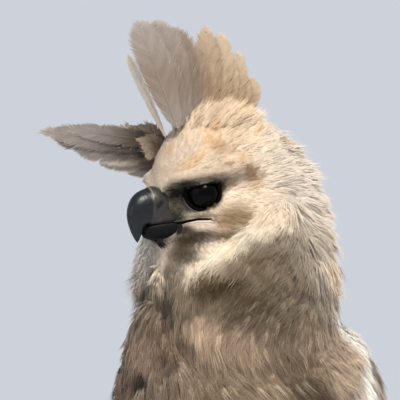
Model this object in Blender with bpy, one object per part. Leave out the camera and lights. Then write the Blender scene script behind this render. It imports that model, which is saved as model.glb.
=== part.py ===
"""Young harpy eagle with its crest blown up: a still, life-size model that stands on its own feet.

Metres, +Z up. The bird's body faces -Y, its left side is +X and its soles lie at z = 0.
The head is turned to the bird's right, and has a frame of its own: forward, left and up.
"""

import bisect
from math import cos, exp, pi, radians, sin

import bmesh
import bpy
import numpy as np
from mathutils import Matrix, Vector

# Gap between neighbouring pieces
GAP = 0.0003
RIGHT_LEFT, FORE_AFT, UPWARD = Vector((1, 0, 0)), Vector((0, 1, 0)), Vector((0, 0, 1))

# Trunk: a straight axis from the base of the neck down to the root of the tail
NECK_BASE = Vector((0.0, -0.108, 0.665))
TRUNK_SLOPE = radians(61)
TRUNK_DOWN = Vector((0, cos(TRUNK_SLOPE), -sin(TRUNK_SLOPE)))
TRUNK_BACK = Vector((0, sin(TRUNK_SLOPE), cos(TRUNK_SLOPE)))
# distance down the axis, half width, depth of the breast side, depth of the back
TRUNK = (
    (-0.012, 0.066, 0.050, 0.052),
    (0.006, 0.084, 0.071, 0.064),
    (0.050, 0.098, 0.092, 0.073),
    (0.100, 0.104, 0.104, 0.078),
    (0.160, 0.106, 0.110, 0.080),
    (0.220, 0.104, 0.110, 0.078),
    (0.280, 0.098, 0.102, 0.072),
    (0.340, 0.086, 0.088, 0.062),
    (0.400, 0.068, 0.066, 0.050),
    (0.445, 0.050, 0.042, 0.040),
)
TRUNK_END = 0.445
TRUNK_RING = 24
TRUNK_RINGS = 17
# how far the poles lie beyond the last rings of the trunk and the neck
TRUNK_POLE, NECK_POLE = 0.012, 0.006

# Neck: level rings: height, sideways and fore-and-aft centre, half width, half depth
NECK = (
    (0.590, 0.000, -0.080, 0.070, 0.060),
    (0.630, -0.001, -0.088, 0.080, 0.070),
    (0.665, -0.004, -0.092, 0.087, 0.075),
    (0.700, -0.007, -0.094, 0.088, 0.076),
    (0.735, -0.009, -0.092, 0.084, 0.073),
    (0.775, -0.011, -0.086, 0.077, 0.067),
    (0.805, -0.011, -0.080, 0.066, 0.058),
    (0.830, -0.011, -0.076, 0.050, 0.045),
    (0.848, -0.011, -0.074, 0.026, 0.024),
)
NECK_RING = 24
NECK_RINGS = 13
# Cuts that part head, neck and trunk: a point on each, and the way the cut faces
HEAD_CUT = (Vector((0, -0.090, 0.716)), Vector((0, -0.20, 1.0)).normalized())
NECK_CUT = (Vector((0, -0.096, 0.640)), Vector((0, -0.42, 1.0)).normalized())
CUT_HALF_SIZE = 0.3

# Head: origin midway between the eyes, turned to the bird's right and tipped down a little
HEAD_AT = Vector((-0.051, -0.119, 0.790))
HEAD_TURN = radians(57)
HEAD_TIP = radians(4)
HEAD = (
    Matrix.Translation(HEAD_AT)
    @ Matrix.Rotation(-HEAD_TURN, 4, "Z")
    @ Matrix.Rotation(HEAD_TIP, 4, "X")
)
# Upright sections: forward, half width, height of the widest place, top, bottom
HEAD_SECTIONS = (
    (0.0385, 0.0105, -0.008, 0.0105, -0.030),
    (0.0335, 0.0140, -0.006, 0.022, -0.036),
    (0.0270, 0.0180, -0.002, 0.036, -0.040),
    (0.0190, 0.0235, 0.001, 0.048, -0.044),
    (0.0100, 0.0290, 0.001, 0.058, -0.049),
    (0.0000, 0.0335, -0.002, 0.067, -0.052),
    (-0.0110, 0.0375, -0.005, 0.072, -0.056),
    (-0.0230, 0.0430, -0.007, 0.075, -0.060),
    (-0.0360, 0.0490, -0.009, 0.074, -0.064),
    (-0.0500, 0.0540, -0.011, 0.069, -0.068),
    (-0.0640, 0.0560, -0.013, 0.058, -0.070),
    (-0.0770, 0.0520, -0.015, 0.043, -0.068),
    (-0.0880, 0.0410, -0.016, 0.024, -0.060),
    (-0.0960, 0.0240, -0.016, 0.005, -0.044),
)
# Hollows (under zero) and swells of the sides: forward, up, reach both ways, depth
HEAD_RELIEF = (
    (0.026, -0.006, 0.016, 0.020, -0.0085),
    (0.010, -0.026, 0.016, 0.010, -0.0060),
    (0.003, -0.001, 0.018, 0.014, -0.0040),
    (-0.030, -0.024, 0.018, 0.013, 0.0040),
)
HEAD_RING = 26
HEAD_SQUARENESS = 2.3
HEAD_FRONT, HEAD_REAR = 0.0400, -0.0995
HEAD_POLE_HEIGHT = -0.012

# Eyes: balls that look out to the side and somewhat forward
EYE_RADIUS = 0.0145
EYE_AT = Vector((0.0005, 0.0235, 0.0))
EYE_LOOK = Vector((0.50, 0.86, 0.02)).normalized()
LID_RADIUS, LID_TUBE = 0.0128, 0.0024
LID_OUT = 0.0066
LID_FLATNESS = 0.9
LID_RINGS, LID_RING = 18, 6
# Brow shelf over each eye: forward, left, up, half thickness across, half thickness up
BROW = (
    (0.0325, 0.0085, 0.0100, 0.0036, 0.0036),
    (0.024, 0.0165, 0.0130, 0.0058, 0.0055),
    (0.012, 0.0240, 0.0155, 0.0082, 0.0075),
    (-0.002, 0.0310, 0.0178, 0.0096, 0.0095),
    (-0.014, 0.0360, 0.0190, 0.0098, 0.0108),
    (-0.025, 0.0395, 0.0195, 0.0085, 0.0100),
    (-0.035, 0.0410, 0.0195, 0.0045, 0.0055),
)
# Fold of skin that closes the corner of the mouth: forward, left, up
GAPE_FOLD = (
    (-0.0010, 0.0262, -0.0226),
    (-0.0060, 0.0300, -0.0230),
    (-0.0120, 0.0345, -0.0242),
)
FOLD_RADIUS = 0.0024

# Bill: rows of a ridge point, an edge point (each forward and up) and the half width between them
UPPER_BILL = (
    ((0.0040, -0.0120), (0.0040, -0.0228), 0.0170),
    ((0.0140, -0.0050), (0.0135, -0.0235), 0.0158),
    ((0.0240, 0.0040), (0.0230, -0.0240), 0.0146),
    ((0.0330, 0.0082), (0.0310, -0.0242), 0.0132),
    ((0.0390, 0.0082), (0.0360, -0.0242), 0.0124),
    ((0.0425, 0.0070), (0.0392, -0.0240), 0.0115),
    ((0.0483, 0.0058), (0.0424, -0.0238), 0.0106),
    ((0.0557, 0.0022), (0.0456, -0.0237), 0.0094),
    ((0.0602, -0.0043), (0.0482, -0.0240), 0.0081),
    ((0.0628, -0.0118), (0.0500, -0.0257), 0.0067),
    ((0.0626, -0.0200), (0.0509, -0.0292), 0.0052),
    ((0.0601, -0.0290), (0.0518, -0.0334), 0.0035),
    ((0.0575, -0.0345), (0.0531, -0.0366), 0.0018),
)
UPPER_TIP = (0.0545, -0.0392)
LOWER_BILL = (
    ((0.0060, -0.0214), (0.0058, -0.0352), 0.0166),
    ((0.0140, -0.0215), (0.0140, -0.0372), 0.0156),
    ((0.0260, -0.0215), (0.0260, -0.0380), 0.0136),
    ((0.0360, -0.0226), (0.0360, -0.0380), 0.0110),
    ((0.0430, -0.0246), (0.0425, -0.0370), 0.0080),
    ((0.0470, -0.0272), (0.0462, -0.0354), 0.0050),
    ((0.0488, -0.0302), (0.0482, -0.0340), 0.0024),
)
LOWER_TIP = (0.0494, -0.0325)
BILL_RING = 18
# the upper half is rounder above, the lower half below
BILL_ROUND, BILL_SQUARE = 2.0, 2.8
NOSTRIL_AT = Vector((0.0345, 0.0128, -0.0065))
NOSTRIL_HALF = (0.0046, 0.0030, 0.0017)
NOSTRIL_TILT = radians(42)

# Crest: pads of short raised feathers, as centre and half sizes in the head's frame
CREST_THICK = 0.0013
CREST_LAYER = 0.0026
CREST_BOW, CREST_CUP = 0.05, 0.03
CREST_FACING = (0.545, 0.839, 0.0)
LEFT_PAD = ((-0.020, 0.012, 0.056), (0.048, 0.030, 0.020))
RIGHT_PAD = ((-0.014, -0.029, 0.034), (0.030, 0.013, 0.026))
# Left fan, front to rear: root, tip, width, all in the head's frame
LEFT_FAN = (
    ((0.0098, 0.0054, 0.0561), (0.0249, -0.0253, 0.1492), 0.03),
    ((0.0016, 0.0058, 0.0606), (0.0107, -0.0208, 0.1482), 0.034),
    ((-0.0055, 0.0078, 0.0635), (-0.0021, -0.0146, 0.1413), 0.034),
    ((-0.0113, 0.0115, 0.0648), (-0.0113, -0.0055, 0.1253), 0.03),
    ((-0.0181, 0.0135, 0.0652), (-0.0274, -0.0005, 0.1395), 0.028),
    ((-0.0253, 0.0182, 0.0664), (-0.0373, 0.0086, 0.1337), 0.026),
    ((-0.0331, 0.0233, 0.0658), (-0.0472, 0.0181, 0.1168), 0.024),
    ((-0.0427, 0.0271, 0.0643), (-0.0559, 0.0272, 0.0941), 0.022),
)
# Right fan, upper to lower
RIGHT_FAN = (
    ((-0.0051, -0.0344, 0.0431), (0.0786, -0.0632, 0.0609), 0.02),
    ((-0.0034, -0.0353, 0.0398), (0.0973, -0.0705, 0.0596), 0.026),
    ((-0.0046, -0.0344, 0.0363), (0.0868, -0.0657, 0.0512), 0.028),
    ((-0.0043, -0.0344, 0.0312), (0.0704, -0.0593, 0.0399), 0.026),
    ((-0.004, -0.0344, 0.0278), (0.0521, -0.0542, 0.0292), 0.022),
    ((-0.004, -0.0318, 0.0227), (0.0295, -0.0462, 0.0191), 0.016),
)

# Wings: the folded arm is a pad on the side of the trunk, and the feathers leave it in tiers
# distance down the trunk, height of the pad over the trunk
ARM = (
    (-0.026, -0.0040),
    (-0.014, 0.0110),
    (0.004, 0.0190),
    (0.040, 0.0235),
    (0.090, 0.0245),
    (0.140, 0.0225),
    (0.180, 0.0170),
    (0.215, 0.0090),
    (0.240, -0.0020),
)
ARM_FRONT, ARM_REAR = radians(-50), radians(66)
ARM_SINK = 0.008
ARM_ACROSS = 6
ARM_RINGS = 7
# powers of the rounded outline of the pad, across and in height
ARM_SQUARENESS, ARM_ROUNDING = 2.6, 0.6
# The shell on which the feathers lie: distance down the trunk, half width, breast depth, back depth
WING_SHELL = (
    *TRUNK[1:6],
    (0.280, 0.099, 0.102, 0.075),
    (0.340, 0.092, 0.092, 0.074),
    (0.400, 0.083, 0.080, 0.074),
    (0.460, 0.074, 0.070, 0.075),
    (0.530, 0.064, 0.060, 0.077),
)
# Each tier: how many feathers, root, tips of the first, middle and last feather down the trunk,
# angle round the trunk of the first and last at root and at tip, height at root and tip,
# step in height from one feather to the next, width, and the distances down the trunk at which
# all the feathers of a tier bend together
TIERS = {
    "primary": dict(
        count=6, root=0.110, tips=(0.440, 0.515, 0.490), root_turn=(-36, -8), tip_turn=(10, 40),
        rise=(0.0052, 0.0056), step=0.0018, width=0.030, lines=(0.200, 0.280, 0.360),
    ),
    "secondary": dict(
        count=7, root=0.140, tips=(0.405, 0.420, 0.345), root_turn=(-20, 46), tip_turn=(12, 72),
        rise=(0.0125, 0.0142), step=0.0017, width=0.044, lines=(0.220, 0.290),
    ),
    "greater_covert": dict(
        count=7, root=0.100, tips=(0.262, 0.268, 0.238), root_turn=(-34, 48), tip_turn=(-24, 64),
        rise=(0.0170, 0.0200), step=0.0017, width=0.038, lines=(0.180,),
    ),
}
VANE_THICK = 0.0008
VANE_EDGE = 0.0006
# Outline of a vane: share of its length, share of its width
VANE_OUTLINE = ((0.0, 0.55), (0.55, 1.0), (0.80, 0.96), (0.90, 0.84), (1.0, 0.34))
TAIL_OUTLINE = ((0.0, 0.50), (0.60, 0.96), (0.94, 1.0), (1.0, 0.45))
CREST_OUTLINE = ((0.0, 0.30), (0.35, 0.78), (0.68, 1.0), (0.88, 0.88), (1.0, 0.40))

# Tail: a fleshy root on the end of the trunk, and twelve long feathers
TAIL_ROOT = NECK_BASE + TRUNK_DOWN * 0.432 + TRUNK_BACK * 0.004
TAIL_SLOPE = radians(45)
TAIL_DOWN = Vector((0, cos(TAIL_SLOPE), -sin(TAIL_SLOPE)))
TAIL_UP = Vector((0, sin(TAIL_SLOPE), cos(TAIL_SLOPE)))
# distance down the tail, half width, half height of the fleshy root with its coverts
TAIL_FLESH = (
    (-0.050, 0.040, 0.030),
    (-0.020, 0.044, 0.032),
    (0.015, 0.042, 0.026),
    (0.050, 0.034, 0.018),
    (0.080, 0.026, 0.011),
)
TAIL_FEATHER = 0.375
TAIL_WIDTH = 0.052
TAIL_LAYER = 0.0016
TAIL_SPREAD = radians(1.25)
TAIL_PAIRS = 6
# first feather's distance from the middle line, and the step to the next
TAIL_FIRST, TAIL_NEXT = 0.003, 0.003
# the fan opens by this share of a step before the first feather; outer feathers are shorter
TAIL_FAN_START, TAIL_SHORTER = 0.6, 0.0030
# closest the outer feathers come to the middle line, and how that grows across a vane
TAIL_CLEAR, TAIL_CLEAR_SLOPE = 0.0010, 0.0002
TAIL_ROLL = 0.02
TAIL_FLESH_LEVEL, TAIL_FLESH_RING = -0.003, 20
# Coverts of the tail: length, width, height at root and at tip
COVERT_ABOVE = (0.085, 0.036, 0.0150, 0.0115)
COVERT_BELOW = (0.100, 0.038, 0.0160, 0.0240)
COVERTS = 3
COVERT_STEP = 0.0016
COVERT_START, COVERT_APART, COVERT_SPREAD = 0.020, 0.0200, 0.35

# Legs
# Feathered thigh: height, fore-and-aft centre, distance out, half width, half depth
THIGH = (
    (0.410, -0.012, 0.046, 0.038, 0.050),
    (0.370, -0.004, 0.052, 0.044, 0.060),
    (0.320, 0.002, 0.056, 0.047, 0.061),
    (0.265, 0.010, 0.060, 0.044, 0.055),
    (0.215, 0.014, 0.063, 0.038, 0.045),
    (0.170, 0.017, 0.065, 0.030, 0.035),
    (0.132, 0.018, 0.066, 0.025, 0.028),
    (0.110, 0.016, 0.067, 0.019, 0.021),
)
THIGH_RING = 16
FOOT_AT = Vector((0.067, -0.014, 0.0))
# Bare shank: height, fore-and-aft centre, half width, half depth
SHANK = (
    (0.150, 0.020, 0.0135, 0.0155),
    (0.125, 0.018, 0.0148, 0.0168),
    (0.105, 0.012, 0.0136, 0.0152),
    (0.080, 0.003, 0.0130, 0.0144),
    (0.055, -0.006, 0.0132, 0.0146),
    (0.036, -0.012, 0.0150, 0.0160),
    (0.022, -0.015, 0.0180, 0.0186),
)
SHANK_RING = 12
SHANK_SCUTES = 8
# Scutes: bare length above and below them, length and height of a step, share of the front without one
SCUTES_ABOVE, SCUTES_BELOW = 0.030, 0.012
SCUTE_EDGE, SCUTE_STEP, SCUTE_BARE = 0.0006, 0.0011, 0.15
# Ball of the foot: height, half width, half depth
BALL = ((0.018, 0.0200, 0.0205), (0.006, 0.0195, 0.0200), (0.0, 0.0165, 0.0170))
# Toes: compass angle from straight ahead (outward is positive), length, radius, claw length
TOES = {
    "inner": (-34, 0.066, 0.0112, 0.058),
    "middle": (2, 0.094, 0.0112, 0.052),
    "outer": (44, 0.070, 0.0104, 0.044),
    "hind": (186, 0.056, 0.0118, 0.070),
}
TOE_START = 0.010
TOE_RING = 8
# pads along a toe, and how much they swell; width and taper, height of the middle, both over the radius
TOE_PADS, TOE_SWELL = 2.5, 0.08
TOE_WIDTH, TOE_TAPER, TOE_HEIGHT = 1.06, 0.20, 0.86
# scutes on a toe: how many, share of the length where they start and end, length and height of a step
TOE_SCUTES, TOE_SCUTES_FROM, TOE_SCUTES_TO = 4, 0.34, 0.97
TOE_SCUTE_EDGE, TOE_SCUTE_STEP = 0.008, 0.00088
# end of a toe: size of the last ring, length and height of the tip
TOE_END, TOE_TIP, TOE_TIP_HEIGHT = 0.80, 0.004, 0.80
CLAW_RING = 8
CLAW_RINGS = 7
CLAW_SEAT, CLAW_SEAT_HEIGHT = 0.004, 0.98
CLAW_LOWEST_START, CLAW_HIGHEST_START = radians(-30), radians(85)
CLAW_END_SLOPE = radians(-74)
# radius at the root, its growth with the claw's length, how it thins, width over height
CLAW_RADIUS, CLAW_GROWTH = 0.0036, 0.0504
CLAW_THINNING, CLAW_WIDTH = 0.72, 0.80
CLAW_CLEAR = 0.0006

SKIN = {
    "down_white": ((0.86, 0.79, 0.69), 0.9),
    "neck_grey": ((0.55, 0.50, 0.43), 0.9),
    "breast_buff": ((0.62, 0.54, 0.45), 0.9),
    "wing_grey": ((0.58, 0.53, 0.48), 0.8),
    "tail_grey": ((0.55, 0.51, 0.47), 0.8),
    "crest_grey": ((0.60, 0.53, 0.45), 0.8),
    "bill_horn": ((0.06, 0.065, 0.07), 0.35),
    "eye_dark": ((0.02, 0.014, 0.012), 0.08),
    "leg_yellow": ((0.66, 0.53, 0.22), 0.6),
    "claw_black": ((0.03, 0.03, 0.032), 0.3),
}


def clear_scene():
    for obj in list(bpy.data.objects):
        bpy.data.objects.remove(obj, do_unlink=True)


def finish_of(name):
    """The named Principled material, made once."""
    found = bpy.data.materials.get(name)
    if found:
        return found
    colour, roughness = SKIN[name]
    made = bpy.data.materials.new(name)
    made.use_nodes = True
    shader = made.node_tree.nodes["Principled BSDF"]
    shader.inputs["Base Color"].default_value = (*colour, 1)
    shader.inputs["Roughness"].default_value = roughness
    shader.inputs["Metallic"].default_value = 0.0
    return made


def along(table, t):
    """The values at t on a smooth curve through the rows of a table, whose first column is t."""
    keys = [row[0] for row in table]
    rows = np.array([row[1:] for row in table], float)
    i = min(max(bisect.bisect_right(keys, t) - 1, 0), len(keys) - 2)
    span = keys[i + 1] - keys[i]
    s = min(max((t - keys[i]) / span, 0.0), 1.0)

    def slope(j):
        a, b = max(j - 1, 0), min(j + 1, len(keys) - 1)
        return (rows[b] - rows[a]) / (keys[b] - keys[a]) * span

    return (
        rows[i] * (2 * s**3 - 3 * s**2 + 1)
        + slope(i) * (s**3 - 2 * s**2 + s)
        + rows[i + 1] * (3 * s**2 - 2 * s**3)
        + slope(i + 1) * (s**3 - s**2)
    )


def steps(first, last, count):
    return [first + (last - first) * i / (count - 1) for i in range(count)]


def named(name, bm, finish):
    """An object of that name from a closed bmesh, with its faces turned out."""
    bmesh.ops.recalc_face_normals(bm, faces=bm.faces)
    mesh = bpy.data.meshes.new(name)
    bm.to_mesh(mesh)
    bm.free()
    mesh.materials.append(finish_of(finish))
    obj = bpy.data.objects.new(name, mesh)
    bpy.context.scene.collection.objects.link(obj)
    return obj


def loft(name, rings, finish, start=None, end=None):
    """A closed body through rings of points, with a pole at each end."""
    bm = bmesh.new()
    loops = [[bm.verts.new(p) for p in ring] for ring in rings]
    count = len(loops[0])
    for near, far in zip(loops, loops[1:]):
        for i in range(count):
            j = (i + 1) % count
            bm.faces.new((near[i], near[j], far[j]))
            bm.faces.new((near[i], far[j], far[i]))
    for loop, pole in ((loops[0], start), (loops[-1], end)):
        middle = sum((v.co for v in loop), Vector()) / count
        top = bm.verts.new(middle if pole is None else pole)
        for i in range(count):
            bm.faces.new((loop[i], loop[(i + 1) % count], top))
    return named(name, bm, finish)


def oval(centre, side, up, half_side, half_up, count, half_down=None, power=2.0, power_down=None):
    """Points of an oval ring; its lower half may be deeper, and a power over 2 squares a half."""
    points = []
    for i in range(count):
        t = 2 * pi * i / count
        c, s = cos(t), sin(t)
        squared = power_down if s < 0 and power_down else power
        c = abs(c) ** (2 / squared) * (1 if c >= 0 else -1)
        s = abs(s) ** (2 / squared) * (1 if s >= 0 else -1)
        tall = half_up if s >= 0 or half_down is None else half_down
        points.append(centre + side * (c * half_side) + up * (s * tall))
    return points


def tube(name, path, finish, count=8, ends=0.4):
    """A closed tube along (point, side, up, half_side, half_up) stations."""
    rings = [oval(p, side, up, a, b, count) for p, side, up, a, b in path]
    first, last = path[0], path[-1]
    lead = (path[1][0] - first[0]).normalized() * (first[4] * ends)
    trail = (last[0] - path[-2][0]).normalized() * (last[4] * ends)
    return loft(name, rings, finish, first[0] - lead, last[0] + trail)


def boolean(target, others, operation, solver="EXACT"):
    """Applies one Boolean with all the others, and removes them."""
    group = bpy.data.collections.new("operands")
    bpy.context.scene.collection.children.link(group)
    for other in others:
        group.objects.link(other)
        bpy.context.scene.collection.objects.unlink(other)
    cut = target.modifiers.new("cut", "BOOLEAN")
    cut.operation = operation
    cut.operand_type = "COLLECTION"
    cut.collection = group
    cut.solver = solver
    graph = bpy.context.evaluated_depsgraph_get()
    made = bpy.data.meshes.new_from_object(target.evaluated_get(graph))
    target.modifiers.clear()
    target.data = made
    for other in list(group.objects):
        bpy.data.objects.remove(other, do_unlink=True)
    bpy.data.collections.remove(group)
    return target


def bodies_of(bm):
    """The faces of each connected body."""
    left, found = set(bm.faces), []
    while left:
        stack = [left.pop()]
        body = set(stack)
        while stack:
            for edge in stack.pop().edges:
                for face in edge.link_faces:
                    if face in left:
                        left.discard(face)
                        body.add(face)
                        stack.append(face)
        found.append(body)
    return found


def volume_of(faces):
    total = 0.0
    for face in faces:
        corners = [v.co for v in face.verts]
        for b, c in zip(corners[1:], corners[2:]):
            total += corners[0].dot(b.cross(c)) / 6
    return total


def keep_largest(obj, weld=0.000001):
    """Leaves only the largest closed surface of an object."""
    bm = bmesh.new()
    bm.from_mesh(obj.data)
    bmesh.ops.remove_doubles(bm, verts=bm.verts, dist=weld)
    bmesh.ops.triangulate(bm, faces=bm.faces)
    bodies = sorted(bodies_of(bm), key=volume_of)
    drop = [face for body in bodies[:-1] for face in body]
    bmesh.ops.delete(bm, geom=drop, context="FACES")
    bm.to_mesh(obj.data)
    bm.free()
    return obj


def smooth(obj, angle=50):
    obj.data.shade_smooth()
    obj.data.set_sharp_from_angle(angle=radians(angle))
    return obj


# Trunk, neck and head


def trunk_point(down, turn, rise):
    """A point at that distance down the trunk and angle from its left side towards the back."""
    wide, breast, back = along(TRUNK, down)
    deep = back if sin(turn) >= 0 else breast
    across = Vector((cos(turn) * (wide + rise), 0, 0))
    return NECK_BASE + TRUNK_DOWN * down + across + TRUNK_BACK * (sin(turn) * (deep + rise))


def trunk(name, grow=0.0):
    stations = steps(TRUNK[0][0], TRUNK_END, TRUNK_RINGS)
    turns = [2 * pi * i / TRUNK_RING for i in range(TRUNK_RING)]
    rings = [[trunk_point(down, turn, grow) for turn in turns] for down in stations]
    reach = TRUNK_POLE + grow
    top = NECK_BASE + TRUNK_DOWN * (TRUNK[0][0] - reach)
    end = NECK_BASE + TRUNK_DOWN * (TRUNK_END + reach)
    return loft(name, rings, "breast_buff", top, end)


def neck(name, grow=0.0):
    rings = []
    for height in steps(NECK[0][0], NECK[-1][0], NECK_RINGS):
        x, y, wide, deep = along(NECK, height)
        centre = Vector((x, y, height))
        rings.append(oval(centre, RIGHT_LEFT, FORE_AFT, wide + grow, deep + grow, NECK_RING))
    x, y, wide, deep = along(NECK, NECK[-1][0])
    return loft(name, rings, "neck_grey", end=Vector((x, y, NECK[-1][0] + NECK_POLE + grow)))


def in_head(forward, left, up):
    """A point of the head's own frame, in the model's frame."""
    return HEAD @ Vector((left, -forward, up))


def head_way(forward, left, up):
    return (HEAD.to_3x3() @ Vector((left, -forward, up))).normalized()


def relief(forward, up):
    """How far the side of the head stands out of its plain oval."""
    total = 0.0
    for f, u, reach_f, reach_u, depth in HEAD_RELIEF:
        total += depth * exp(-(((forward - f) / reach_f) ** 2) - ((up - u) / reach_u) ** 2)
    return total


def head_ball(name, grow=0.0):
    """The head with its feathers raised, without bill, eyes and brows."""
    side, rise = head_way(0, 1, 0), head_way(0, 0, 1)
    rings = []
    for forward, wide, middle, top, bottom in HEAD_SECTIONS:
        centre = in_head(forward, 0, middle)
        up, down = top - middle + grow, middle - bottom + grow
        ring = oval(centre, side, rise, wide + grow, up, HEAD_RING, down, HEAD_SQUARENESS)
        for point in ring:
            out, high = (point - HEAD_AT).dot(side), (point - HEAD_AT).dot(rise)
            point += side * (relief(forward, high) * min(max(out / wide, -1), 1))
        rings.append(ring)
    front = in_head(HEAD_FRONT + grow, 0, HEAD_POLE_HEIGHT)
    rear = in_head(HEAD_REAR - grow, 0, HEAD_POLE_HEIGHT)
    return loft(name, rings, "down_white", front, rear)


def brow(side, grow=0.0):
    path = []
    for forward, left, up, across, tall in BROW:
        place, out = in_head(forward, side * left, up), head_way(0, side, 0)
        path.append((place, out, head_way(0, 0, 1), across + grow, tall + grow))
    return tube("brow", path, "down_white")


def eye_centre(side):
    return in_head(EYE_AT.x, side * EYE_AT.y, EYE_AT.z)


def eye_look(side):
    return head_way(EYE_LOOK.x, side * EYE_LOOK.y, EYE_LOOK.z)


def ball(name, centre, radius, finish, rings=9, segments=16, look=Vector((0, 0, 1))):
    bm = bmesh.new()
    turn = look.to_track_quat("Z", "Y").to_matrix().to_4x4()
    place = Matrix.Translation(centre) @ turn
    bmesh.ops.create_uvsphere(bm, u_segments=segments, v_segments=rings, radius=radius, matrix=place)
    return named(name, bm, finish)


def lid(side):
    """A soft ring of skin round the eye, seen as the upper and lower lids."""
    look = eye_look(side)
    centre = eye_centre(side) + look * LID_OUT
    across = look.cross(head_way(0, 0, 1)).normalized()
    tall = across.cross(look).normalized()
    bm = bmesh.new()
    loops = []
    for i in range(LID_RINGS):
        t = 2 * pi * i / LID_RINGS
        out = across * cos(t) + tall * sin(t)
        middle = centre + out * LID_RADIUS
        ring = oval(middle, out, look, LID_TUBE, LID_TUBE * LID_FLATNESS, LID_RING)
        loops.append([bm.verts.new(p) for p in ring])
    for i in range(LID_RINGS):
        near, far = loops[i], loops[(i + 1) % LID_RINGS]
        for k in range(LID_RING):
            m = (k + 1) % LID_RING
            bm.faces.new((near[k], near[m], far[m], far[k]))
    return named("lid", bm, "down_white")


def gape_fold(side):
    path = []
    for forward, left, up in GAPE_FOLD:
        place = in_head(forward, side * left, up)
        path.append((place, head_way(0.3, side, 0), head_way(0, 0, 1), FOLD_RADIUS, FOLD_RADIUS))
    return tube("fold", path, "down_white", count=6)


def half_bill(name, table, tip, grow, power, power_down):
    """A half of the bill: each ring spans the head's middle plane from ridge to edge."""
    side, rings = head_way(0, 1, 0), []
    for i, (ridge, edge, wide) in enumerate(table):
        top, bottom = in_head(ridge[0], 0, ridge[1]), in_head(edge[0], 0, edge[1])
        rise = (top - bottom).normalized()
        centre = (top + bottom) / 2
        if i == 0:
            centre += rise.cross(side).normalized() * grow
        wide, tall = wide + grow, (top - bottom).length / 2 + grow
        rings.append(oval(centre, side, rise, wide, tall, BILL_RING, None, power, power_down))
    end = in_head(tip[0], 0, tip[1])
    return loft(name, rings, "bill_horn", end=end + (end - centre).normalized() * grow)


def upper_bill(name, grow=0.0):
    return half_bill(name, UPPER_BILL, UPPER_TIP, grow, BILL_ROUND, BILL_SQUARE)


def lower_bill(name, grow=0.0):
    return half_bill(name, LOWER_BILL, LOWER_TIP, grow, BILL_SQUARE, BILL_ROUND)


def nostril(side):
    """A slanting slit through the side of the cere."""
    bm = bmesh.new()
    frame = HEAD @ Matrix.Translation((side * NOSTRIL_AT.y, -NOSTRIL_AT.x, NOSTRIL_AT.z))
    slit = frame @ Matrix.Rotation(-NOSTRIL_TILT, 4, "X")
    size = Matrix.Diagonal((NOSTRIL_HALF[1], NOSTRIL_HALF[0], NOSTRIL_HALF[2], 1))
    bmesh.ops.create_uvsphere(bm, u_segments=10, v_segments=6, radius=1, matrix=slit @ size)
    return named("nostril", bm, "bill_horn")


def cut_plate(place, way):
    """A plate as thick as the gap, which parts the body where it lies."""
    bm = bmesh.new()
    frame = Matrix.Translation(place) @ way.to_track_quat("Z", "Y").to_matrix().to_4x4()
    size = Matrix.Diagonal((2 * CUT_HALF_SIZE, 2 * CUT_HALF_SIZE, GAP, 1))
    bmesh.ops.create_cube(bm, size=1, matrix=frame @ size)
    return named("plate", bm, "down_white")


def part_body(whole):
    """Splits the cut body into head, neck and trunk, from the top down."""
    bm = bmesh.new()
    bm.from_mesh(whole.data)
    bmesh.ops.triangulate(bm, faces=bm.faces)
    bodies = sorted(bodies_of(bm), key=volume_of)[-3:]
    bodies.sort(key=lambda body: -max(v.co.z for face in body for v in face.verts))
    bm.faces.index_update()
    wanted = [{face.index for face in body} for body in bodies]
    bm.free()
    finishes = ("down_white", "neck_grey", "breast_buff")
    for name, keep, finish in zip(("head", "neck", "torso"), wanted, finishes):
        one = bmesh.new()
        one.from_mesh(whole.data)
        bmesh.ops.triangulate(one, faces=one.faces)
        one.faces.ensure_lookup_table()
        drop = [face for face in one.faces if face.index not in keep]
        bmesh.ops.delete(one, geom=drop, context="FACES")
        for face in one.faces:
            face.material_index = 0
        smooth(named(name, one, finish))
    bpy.data.objects.remove(whole, do_unlink=True)


def make_head_neck_trunk():
    whole = head_ball("whole")
    pieces = [neck("column"), trunk("barrel")]
    for side in (1, -1):
        pieces += [brow(side), lid(side), gape_fold(side)]
    boolean(whole, pieces, "UNION", "MANIFOLD")
    cutters = [upper_bill("cut", GAP), lower_bill("cut", GAP)]
    for side in (1, -1):
        cutters.append(ball("cut", eye_centre(side), EYE_RADIUS + GAP, "eye_dark"))
    cutters += [cut_plate(*HEAD_CUT), cut_plate(*NECK_CUT)]
    for cutter in cutters:
        boolean(whole, [cutter], "DIFFERENCE")
    part_body(whole)


def make_eyes():
    for side, word in ((1, "left"), (-1, "right")):
        smooth(ball(f"eye_{word}", eye_centre(side), EYE_RADIUS, "eye_dark"))


def make_bill():
    upper = upper_bill("bill_upper")
    boolean(upper, [nostril(1), nostril(-1)], "DIFFERENCE")
    smooth(keep_largest(upper))
    lower = lower_bill("bill_lower")
    boolean(lower, [upper_bill("cut", 2 * GAP)], "DIFFERENCE")
    smooth(keep_largest(lower))


# Feathers


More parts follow.
